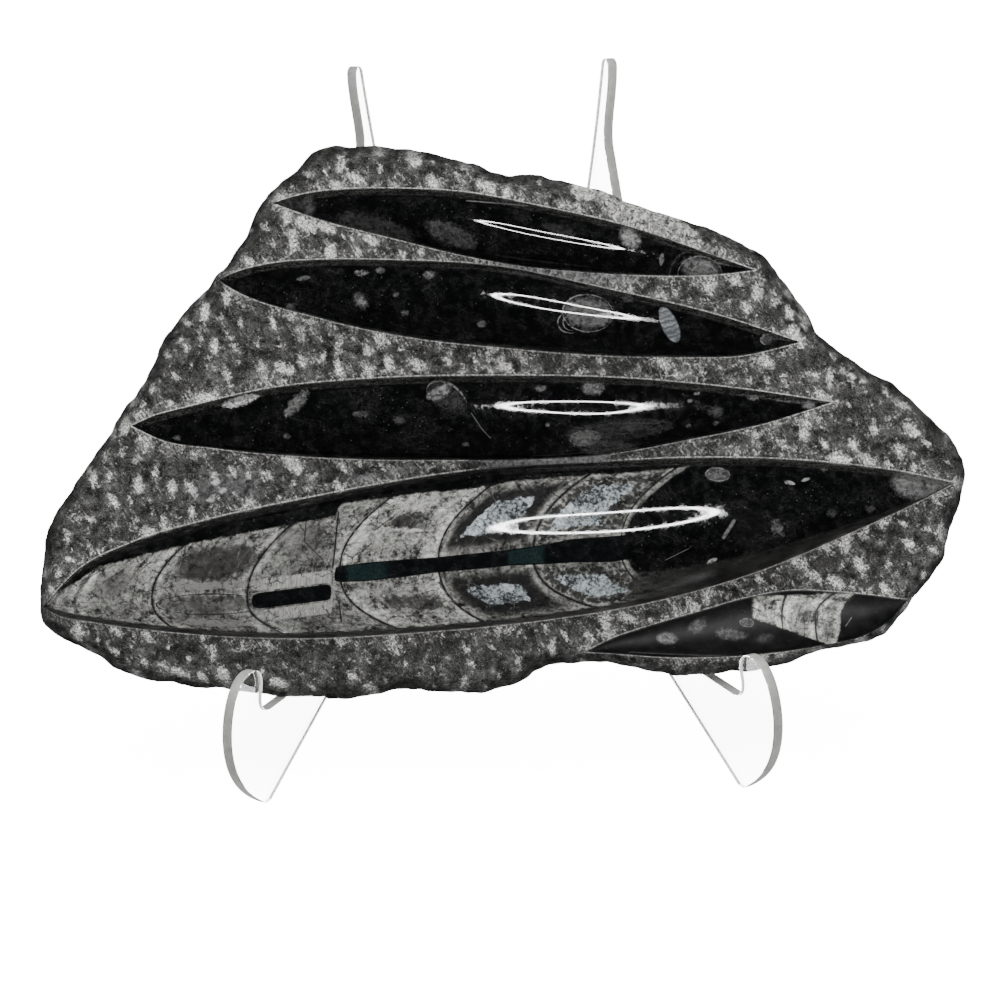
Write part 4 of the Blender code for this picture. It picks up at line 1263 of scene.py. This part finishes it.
def makeStrikeLayer():
    # one layer of strikes: each point of the ground takes the dent of the strike nearest to it
    given = newTree("strikeLayer", "GeometryNodeTree",
                    [("Stone", shape), ("Weight", decimal, 1.0), ("Spacing", decimal), ("Length", decimal),
                     ("Width", decimal), ("Depth", decimal), ("Lip", decimal), ("Turn", decimal),
                     ("Turn Spread", decimal), ("Seed", whole)],
                    [("Offset", decimal), ("Mark", decimal)])
    density = 4.0 / (given["Spacing"] * given["Spacing"])
    spread = put("GeometryNodeDistributePointsOnFaces", {"Mesh": given["Stone"],
                                                         "Distance Min": given["Spacing"],
                                                         "Density Max": density,
                                                         "Density Factor": given["Weight"],
                                                         "Seed": given["Seed"]},
                 distribute_method="POISSON")
    here = put("GeometryNodeInputPosition")
    nearest = put("GeometryNodeSampleNearest", {"Geometry": spread, "Sample Position": here})

    def ofStrike(value, kind):
        return put("GeometryNodeSampleIndex", {"Geometry": spread, "Value": value, "Index": nearest}, "Value",
                   data_type=kind)

    def chanceOf(low, high, seed):
        return ofStrike(put("FunctionNodeRandomValue", {"Min": low, "Max": high, "Seed": seed}, "Value",
                            data_type="FLOAT"), "FLOAT")

    away = vectors("SUBTRACT", here, ofStrike(here, "FLOAT_VECTOR"))
    right = vectors("DOT_PRODUCT", away, (1, 0, 0))
    up = vectors("DOT_PRODUCT", away, (0, math.sin(lean), math.cos(lean)))
    angle = given["Turn"] + chanceOf(-1, 1, 3) * given["Turn Spread"]
    cosine, sine = sums("COSINE", angle), sums("SINE", angle)
    along = right * cosine + up * sine
    side = up * cosine - right * sine
    size = chanceOf(0.4, 1.5, 5)
    a = along / (given["Length"] * size)
    b = side / (given["Width"] * size)
    square = a * a + b * b
    mark = sums("EXPONENT", square * -1.1)
    past = sums("SQRT", square) - 1.35
    lip = sums("EXPONENT", past * past * -5.0)
    wedge = scaled(a, 0.45, 1.0)
    dent = mark * wedge * (given["Depth"] * size)
    offset = lip * given["Lip"] - dent
    return finishTree(Offset=offset * given["Weight"], Mark=mark * chanceOf(0.3, 1.15, 9))


def makeDressedStone(layer):
    zones = ("Ground", "Polish", "Side", "Back")
    given = newTree("dressedStone", "GeometryNodeTree",
                    [("Stone", shape), *((name, decimal) for name in (*chisel["lengths"], *chisel["angles"])),
                     ("Seed", whole), *((name, matter) for name in zones)],
                    [("Stone", shape)])

    def named(name, kind="FLOAT"):
        return put("GeometryNodeInputNamedAttribute", (name,), "Attribute", data_type=kind)

    tooled, broken, place = named("tooled"), named("broken"), named("place", "FLOAT_VECTOR")
    layers = []
    for kind, seed in (("Strike", 0.0), ("Nick", 40.0)):
        sizes = {name: given[f"{kind} {name}"] for name in ("Spacing", "Length", "Width", "Depth", "Lip")}
        turns = {name: given[name] for name in ("Turn", "Turn Spread")}
        layers.append(use(layer, Stone=given["Stone"], Weight=tooled, Seed=given["Seed"] + seed,
                          **sizes, **turns))
    swell = clouds(place, 0.16, 4.0, 0.6)
    uneven = (swell - 0.5) * given["Unevenness"] * tooled
    push = layers[0]["Offset"] + layers[1]["Offset"] + uneven
    ground = stretched((0.0, -math.cos(lean), math.sin(lean)), push)
    # flakes broken from the sides
    flakes = put("ShaderNodeTexVoronoi", {"Vector": place, "Scale": 0.16}, feature="SMOOTH_F1")
    rough = clouds(place, 0.3, 5.0, 0.62)
    depth = ((flakes - 0.55) * 0.8 + (rough - 0.55)) * given["Break Depth"] * broken
    chips = stretched(put("GeometryNodeInputNormal"), depth)
    # marks are read from the untouched stone, so they are stored before it moves
    stored = given["Stone"]
    for name, made in zip(("strike", "nick"), layers):
        stored = put("GeometryNodeStoreNamedAttribute",
                     {"Geometry": stored, "Name": name, "Value": made["Mark"]},
                     data_type="FLOAT", domain="POINT")
    moved = put("GeometryNodeSetPosition", {"Geometry": stored, "Offset": vectors("ADD", ground, chips)})
    finished = put("GeometryNodeRealizeInstances", (moved,))
    zone = named("zone", "INT")
    for number, name in enumerate(zones):
        here = put("FunctionNodeCompare", {"A": zone, "B": number}, data_type="INT", operation="EQUAL")
        finished = put("GeometryNodeSetMaterial", {"Geometry": finished, "Selection": here,
                                                   "Material": given[name]})
    return finishTree(Stone=finished)


def grown(piece, tree, values):
    # runs a node tree on a piece and keeps the plain mesh
    modifier = piece.modifiers.new(tree.name, "NODES")
    modifier.node_group = tree
    for item in tree.interface.items_tree:
        if item.item_type == "SOCKET" and item.in_out == "INPUT" and item.name in values:
            modifier[item.identifier] = values[item.name]
    return plain(piece)


def plain(piece):
    graph = bpy.context.evaluated_depsgraph_get()
    mesh = bpy.data.meshes.new_from_object(piece.evaluated_get(graph), preserve_all_data_layers=True,
                                           depsgraph=graph)
    piece.modifiers.clear()
    old, piece.data = piece.data, mesh
    bpy.data.meshes.remove(old)
    mesh.name = piece.name
    return piece


def coordinates(mesh):
    flat = np.empty(len(mesh.vertices) * 3, np.float32)
    mesh.vertices.foreach_get("co", flat)
    return flat.reshape(-1, 3).astype(float)


def buildSlab():
    fields, faces, zones = stoneMesh()
    piece = meshWith("slab", (onFace(*fields["place"].T) * mm).tolist(), faces, fields, zones)
    print(f"slab mesh: {len(fields['place'])} points, {sum(len(f) - 2 for f in faces)} triangles")
    values = {name: size * mm for name, size in chisel["lengths"].items()}
    values |= {name: math.radians(angle) for name, angle in chisel["angles"].items()}
    values |= {"Seed": chisel["seed"], "Ground": makeTooledGround(), "Polish": makePolished(),
               "Side": makeBrokenSide(), "Back": makeSawnBack()}
    grown(piece, makeDressedStone(makeStrikeLayer()), values)
    seatOnCradles(piece)
    piece.data.set_sharp_from_angle(angle=math.radians(52))
    return piece


# the easel

easel = {
    "sheet": 3.0,
    "middle": -1.7,
    "splay": 25.0,
    "halfSpread": 67.3,
    "bendRadius": 8.0,
    "bendSteps": 14,
    "cradleFloor": 27.0,
    "supportTop": 171.0,
    "armTop": 196.0,
    "foldTop": 64.0,
    "archRise": 25.0,
    # the hook from its toe round to the cradle, as curves: two leads, the end, the points between
    "toe": (-2.2, 0),
    "hook": (
        ((-12, 6.5), (-18.6, 14), (-18.3, 24.8), 14),
        ((-18, 33), (-13.5, 40.9), (-6.3, 41.2), 14),
        ((-2.2, 41.2), (0.2, 39), (-0.1, 35.8), 8),
        ((-0.3, 33.8), (-1.6, 32), (-1.2, 30), 5),
        ((-0.8, 27.9), (0.4, 27), (2.4, 27), 5),
    ),
    "gap": 0.3,
    "feet": -58.838,  # where the wings' front edges start, from the middle of the whole
    "edgeRound": 0.28,
    "clear": {"tint": (0.985, 0.99, 0.99, 1), "dim": (0.975, 0.985, 0.985, 1), "roughness": 0.0, "bend": 1.49,
              "lines": 0.0, "clarity": 1.0},
    "cut": {"tint": (0.27, 0.272, 0.26, 1), "dim": (0.17, 0.172, 0.163, 1), "roughness": 0.42, "bend": 1.49,
            "lines": 1.0, "clarity": 0.45},
}
splay = math.radians(easel["splay"])
bendStart = (easel["halfSpread"] - easel["bendRadius"] * math.cos(splay)) / math.sin(splay)
halfBend = easel["bendRadius"] * (math.pi / 2 - splay)
foldAt = bendStart + halfBend


def keepInside(piece, node):
    # pulls any point outside the solid's box back to it
    low, high = (np.array(corner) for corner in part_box(node))
    points = np.clip(coordinates(piece.data), low, high)
    piece.data.vertices.foreach_set("co", points.astype(np.float32).ravel())
    piece.data.update()


def seatOnCradles(piece):
    # the underside lies level in the cradles, the rest keeps inside the CAD's box
    points = coordinates(piece.data) / mm
    place = np.empty(len(points) * 3, np.float32)
    piece.data.attributes["place"].data.foreach_get("vector", place)
    v = place.reshape(-1, 3)[:, 1]
    over = (v < -50) & (np.abs(np.abs(points[:, 0] + 0.021 - easel["middle"]) - 62) < 12)
    floor = easel["cradleFloor"] + easel["gap"]
    points[:, 2] = np.where(over, np.maximum(points[:, 2], floor), points[:, 2])
    piece.data.vertices.foreach_set("co", (points * mm).astype(np.float32).ravel())
    keepInside(piece, "fossil_slab")


def arcOf(centre, radius, start, end, steps):
    angles = np.radians(np.linspace(start, end, steps + 1))
    return [(centre[0] + radius * math.cos(a), centre[1] + radius * math.sin(a)) for a in angles]


def bow(start, lead, trail, end, steps):
    t = np.linspace(0, 1, steps + 2)[1:-1, None]
    a, b, c, d = (np.array(p, float) for p in (start, lead, trail, end))
    curve = a * (1 - t) ** 3 + 3 * b * t * (1 - t) ** 2 + 3 * c * t**2 * (1 - t) + d * t**3
    return [tuple(p) for p in curve]


def support(z):
    # where an arm's front edge clears the slab's back at height z
    y0, z0 = standing["centre"][1] - easel["feet"], standing["centre"][2]
    w = -slab["thickness"] - easel["gap"]
    v = (z - z0 - w * math.sin(lean)) / math.cos(lean)
    back = y0 + v * math.sin(lean) - w * math.cos(lean)
    return (back + easel["sheet"] / 2 * math.sin(splay)) / math.cos(splay)


def wingPattern():
    rearFoot = foldAt - halfBend - 6
    top, rise, floor = easel["foldTop"], easel["archRise"], easel["cradleFloor"]
    armFoot = (support(easel["supportTop"]), easel["supportTop"])
    tip = (armFoot[0] - 0.6, easel["armTop"] - 2.4)
    pattern = [(foldAt - halfBend, 0), (rearFoot, 0)]
    pattern += bow((rearFoot, 0), (rearFoot - 22, rise * 1.35), (62, rise * 1.21), (40, 19.8), 22)
    pattern += [(40, 19.8), (1.6, 0.7), (0.3, 0), easel["toe"]]
    for lead, trail, end, steps in easel["hook"]:
        pattern += [*bow(pattern[-1], lead, trail, end, steps), end]
    pattern += [(support(floor), floor), armFoot]
    pattern += bow(armFoot, (armFoot[0] + 1.6, 177), (tip[0] - 2.4, 186), (tip[0] - 2.3, tip[1]), 6)
    pattern += arcOf(tip, 2.3, 180, 20, 10)
    pattern += bow((tip[0] + 2.2, tip[1] + 0.8), (tip[0] + 12, 150), (foldAt - 42, top + 22),
                   (foldAt - halfBend, top), 26)
    return pattern + [(foldAt - halfBend, top)]


def makeFoldedSheet():
    given = newTree("foldedSheet", "GeometryNodeTree",
                    [("Pattern", shape), ("Sheet", decimal), ("Splay", decimal), ("Bend Radius", decimal),
                     ("Half Spread", decimal), ("Middle", decimal), ("Feet", decimal),
                     ("Face", matter), ("Cut Edge", matter)], [("Sheet", shape)])
    # thickness first, while the pattern is flat
    thick = wires(node("GeometryNodeExtrudeMesh", {"Mesh": given["Pattern"], "Offset Scale": given["Sheet"],
                                                   "Individual": False}, mode="FACES"))
    under = put("GeometryNodeFlipFaces", {"Mesh": given["Pattern"]})
    faced = put("GeometryNodeSetMaterial", {"Geometry": thick["Mesh"], "Material": given["Face"]})
    faced = put("GeometryNodeSetMaterial", {"Geometry": faced, "Selection": thick["Side"],
                                            "Material": given["Cut Edge"]})
    under = put("GeometryNodeSetMaterial", {"Geometry": under, "Material": given["Face"]})
    both = node("GeometryNodeJoinGeometry", (faced,))
    feed(both, (under,))
    closed = put("GeometryNodeMergeByDistance", {"Geometry": wires(both)["Geometry"], "Distance": 1e-6})
    # then the fold: q from the fold's middle, the sheet's middle surface at y = 0
    here = wires(node("ShaderNodeSeparateXYZ", (put("GeometryNodeInputPosition"),)))
    radius, turn0 = given["Bend Radius"], given["Splay"]
    sine, cosine = (sums("SINE", turn0), sums("COSINE", turn0))
    start = (given["Half Spread"] - radius * cosine) / sine
    length = start + radius * (math.pi / 2 - turn0)
    s = length - abs(here["X"])
    straight = sums("MINIMUM", s, start)
    turn = turn0 + sums("MAXIMUM", s - start, 0.0) / radius
    out = here["Y"] - given["Sheet"] * 0.5
    reach = radius + out
    x = given["Half Spread"] - straight * sine
    x = x - radius * cosine
    x = x + reach * sums("COSINE", turn)
    x = x * sums("SIGN", here["X"]) + given["Middle"]
    y = straight * cosine - radius * sine
    y = y + reach * sums("SINE", turn) + given["Feet"]
    folded = put("GeometryNodeSetPosition", {"Geometry": closed,
                                             "Position": put("ShaderNodeCombineXYZ", (x, y, here["Z"]))})
    real = put("GeometryNodeRealizeInstances", (folded,))
    return finishTree(Sheet=real)


def makeAcrylic(name, look):
    made, shader = newMaterial(name)
    feed(shader, {"Transmission Weight": look["clarity"], "Metallic": 0.0, "IOR": look["bend"]})
    place = put("ShaderNodeMapping", {"Vector": put("ShaderNodeTexCoord", output="Object"),
                                      "Scale": (1000, 1000, 1000)})
    marks = use(fineScratches, Place=place, Density=0.35)
    grain = use(stoneGrain, Place=place, Coarse=0.05, Fine=0.6)
    shade = blendOf(between(grain["Tone"], 0.35, 0.65), look["tint"], look["dim"])
    feed(shader, {"Base Color": shade})
    if look["roughness"]:
        rough = between(grain["Tone"], 0.35, 0.65, look["roughness"], look["roughness"] + 0.12)
        feed(shader, {"Roughness": rough})
    else:
        feed(shader, {"Roughness": 0.0})
    # faint lines left by the cutter
    stretched = put("ShaderNodeMapping", {"Vector": place, "Scale": (0.5, 0.5, 1.2)})
    lines = clouds(stretched, 1.0, 3.0)
    height = scaled(lines, look["lines"], marks["Height"])
    feed(shader, {"Normal": bump(height, 0.1 if look["lines"] else 0.006, 0.08)})
    return made


def buildEasel():
    wing = wingPattern()
    left = [(s - foldAt, z) for s, z in wing]
    right = [(-q, z) for q, z in left][::-1]
    columns = np.linspace(-halfBend, halfBend, 2 * easel["bendSteps"] + 1)
    points = left + right
    faces = [list(range(len(left))), list(range(len(left), 2 * len(left)))]
    # the bend's strips share the wings' last points
    feet, tops = [0], [len(left) - 1]
    for q in columns[1:-1]:
        feet.append(len(points))
        tops.append(len(points) + 1)
        points += [(q, 0), (q, easel["foldTop"])]
    feet.append(2 * len(left) - 1)
    tops.append(len(left))
    for a in range(len(feet) - 1):
        faces.append([feet[a], tops[a], tops[a + 1], feet[a + 1]])
    piece = meshWith("easelSheet", [(q * mm, 0.0, z * mm) for q, z in points], faces)
    mesh = piece.data
    up = np.array([f.normal.y for f in mesh.polygons])
    if up.mean() < 0:
        mesh.flip_normals()
    print("flat pattern faces one way:", bool(abs(up.sum()) > len(up) - 0.1))
    grown(piece, makeFoldedSheet(), {
        "Sheet": easel["sheet"] * mm, "Splay": splay, "Bend Radius": easel["bendRadius"] * mm,
        "Half Spread": easel["halfSpread"] * mm, "Middle": (easel["middle"] + standing["centre"][0]) * mm,
        "Feet": easel["feet"] * mm, "Face": makeAcrylic("clearAcrylic", easel["clear"]),
        "Cut Edge": makeAcrylic("cutAcrylic", easel["cut"])})
    bevel = piece.modifiers.new("softEdge", "BEVEL")
    bevel.width, bevel.segments, bevel.limit_method = easel["edgeRound"] * mm, 2, "ANGLE"
    bevel.angle_limit = math.radians(50)
    plain(piece)
    # the wings' large faces stay flat, so that they show what is behind them undistorted
    piece.data.set_sharp_from_angle(angle=math.radians(32))
    piece.data.polygons.foreach_set("use_smooth", [len(face.vertices) < 12 for face in piece.data.polygons])
    keepInside(piece, "easel")
    return piece


def volumeOf(piece):
    mesh = piece.data
    mesh.calc_loop_triangles()
    corners = np.empty(len(mesh.loop_triangles) * 3, np.int32)
    mesh.loop_triangles.foreach_get("vertices", corners)
    return np.linalg.det(coordinates(mesh)[corners.reshape(-1, 3)]).sum() / 6 * 1e6


slabPiece = buildSlab()
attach(slabPiece, "root")
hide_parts("fossil_slab")
print(f"slab dressed, {volumeOf(slabPiece):.1f} cm3")

easelPiece = buildEasel()
if volumeOf(easelPiece) < 0:
    easelPiece.data.flip_normals()
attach(easelPiece, "root")
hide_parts("easel")
easelPiece.visible_shadow = False  # light passes clear sheet nearly undimmed
print(f"easel folded, {volumeOf(easelPiece):.1f} cm3")


# floor, backdrop and lights

studio = {
    "floorTone": 0.9, "reflectedTone": 0.02, "floorGlow": 14.0,
    "wallAt": 1500.0, "wallRound": 900.0, "wallTop": 2600.0, "halfWidth": 3200.0, "front": -3000.0,
    "world": 0.3, "worldThroughEasel": 14.0,
    "ring": {"outer": 125.0, "inner": 107.0, "width": 0.86, "away": 800.0, "azimuth": 9.3, "elevation": 34.5,
             "glow": 330.0},
    "sky": {"power": 9.0, "spread": 60.0, "lean": 12.0},
    "frontLight": {"at": (220, -1150, 900), "size": (700, 700), "power": 9.0},
}


def throughClear(ray):
    # rays from the camera that have passed only the easel's clear faces
    passed = sums("GREATER_THAN", ray["Transmission Depth"], 0.5) * ray["Is Singular Ray"]
    return passed * sums("LESS_THAN", ray["Diffuse Depth"], 0.5)


def mirroredRay(ray):
    # rays that the stone or the outside of the easel mirrors
    return ray["Is Glossy Ray"] * sums("LESS_THAN", ray["Transmission Depth"], 0.5)


def plainFloor():
    profile = [(studio["front"], 0.0)]
    round_ = studio["wallRound"]
    for a in np.linspace(0, math.pi / 2, 17):
        profile.append((studio["wallAt"] + round_ * math.sin(a), round_ * (1 - math.cos(a))))
    profile.append((studio["wallAt"] + round_, studio["wallTop"]))
    ends = (-studio["halfWidth"], studio["halfWidth"])
    points = [(x * mm, y * mm, z * mm) for y, z in profile for x in ends]
    faces = [(2 * i, 2 * i + 1, 2 * i + 3, 2 * i + 2) for i in range(len(profile) - 1)]
    piece = meshWith("floor", points, faces)
    made, shader = newMaterial("paleFloor")
    faint = clouds(put("ShaderNodeTexCoord", output="Object"), 1.5, 2.0)
    # dark where the polished stone would mirror it, bright where it is seen directly or through the easel
    ray = wires(node("ShaderNodeLightPath"))
    tone = studio["floorTone"]
    colour = blendOf(mirroredRay(ray), blendOf(faint, grey(tone), grey(tone * 0.98)),
                     grey(studio["reflectedTone"]))
    seen = sums("MAXIMUM", ray["Is Camera Ray"], throughClear(ray))
    feed(shader, {"Base Color": colour, "Roughness": 0.9, "Specular IOR Level": 0.1,
                  "Emission Color": (1, 1, 1, 1),
                  "Emission Strength": seen * studio["floorGlow"]})
    piece.data.materials.append(made)


def glowMaterial(strength):
    made = newMaterial("ringGlow")[0]
    bench["tree"].nodes.clear()
    glow = put("ShaderNodeEmission", {"Color": (1, 1, 1, 1), "Strength": strength})
    node("ShaderNodeOutputMaterial", {"Surface": glow})
    return made


def ringLight(ring):
    steps = 72
    turns = np.linspace(0, 2 * math.pi, steps, endpoint=False)
    points = [(r * ring["width"] * math.cos(a) * mm, r * math.sin(a) * mm, 0)
              for a in turns for r in (ring["inner"], ring["outer"])]
    faces = [(2 * i, 2 * i + 1, (2 * i + 3) % (2 * steps), (2 * i + 2) % (2 * steps)) for i in range(steps)]
    piece = meshWith("ringLamp", points, faces)
    up, side = math.radians(ring["elevation"]), math.radians(ring["azimuth"])
    away = Vector((math.sin(side) * math.cos(up), -math.cos(side) * math.cos(up), math.sin(up)))
    turned = away.to_track_quat("Z", "Y").to_matrix().to_4x4()
    piece.matrix_world = Matrix.Translation((Vector(standing["centre"]) + away * ring["away"]) * mm) @ turned
    piece.data.materials.append(glowMaterial(ring["glow"]))
    piece.visible_camera = piece.visible_diffuse = piece.visible_transmission = piece.visible_shadow = False


def softLight(name, given):
    data = bpy.data.lights.new(name, "AREA")
    data.shape, data.energy = "RECTANGLE", given["power"]
    data.size, data.size_y = given["size"][0] * mm, given["size"][1] * mm
    lamp = bpy.data.objects.new(name, data)
    bpy.context.scene.collection.objects.link(lamp)
    towards = Vector((0, 0, 80)) - Vector(given["at"])
    turned = towards.to_track_quat("-Z", "Y").to_matrix().to_4x4()
    lamp.matrix_world = Matrix.Translation(Vector(given["at"]) * mm) @ turned
    lamp.visible_glossy = False


def softSky(given):
    # a broad even light from above, the same all over the floor
    data = bpy.data.lights.new("softSky", "SUN")
    data.energy, data.angle = given["power"], math.radians(given["spread"])
    lamp = bpy.data.objects.new("softSky", data)
    bpy.context.scene.collection.objects.link(lamp)
    lamp.matrix_world = Matrix.Rotation(math.radians(given["lean"]), 4, "X")
    lamp.visible_glossy = False


def softWorld():
    # brighter where it is seen through the easel, so that the clear sheet doesn't mirror a dim room
    world = bpy.data.worlds.new("studio")
    bpy.context.scene.world = world
    world.use_nodes = True
    bench["tree"] = world.node_tree
    ray = wires(node("ShaderNodeLightPath"))
    glow = between(throughClear(ray), 0.0, 1.0, studio["world"], studio["worldThroughEasel"])
    glow = glow * scaled(mirroredRay(ray), -0.8, 1.0)
    feed(world.node_tree.nodes["Background"], {"Color": (1, 1, 1, 1), "Strength": glow})


plainFloor()
ringLight(studio["ring"])
softSky(studio["sky"])
softLight("frontLight", studio["frontLight"])
softWorld()
print("stage and lights set")
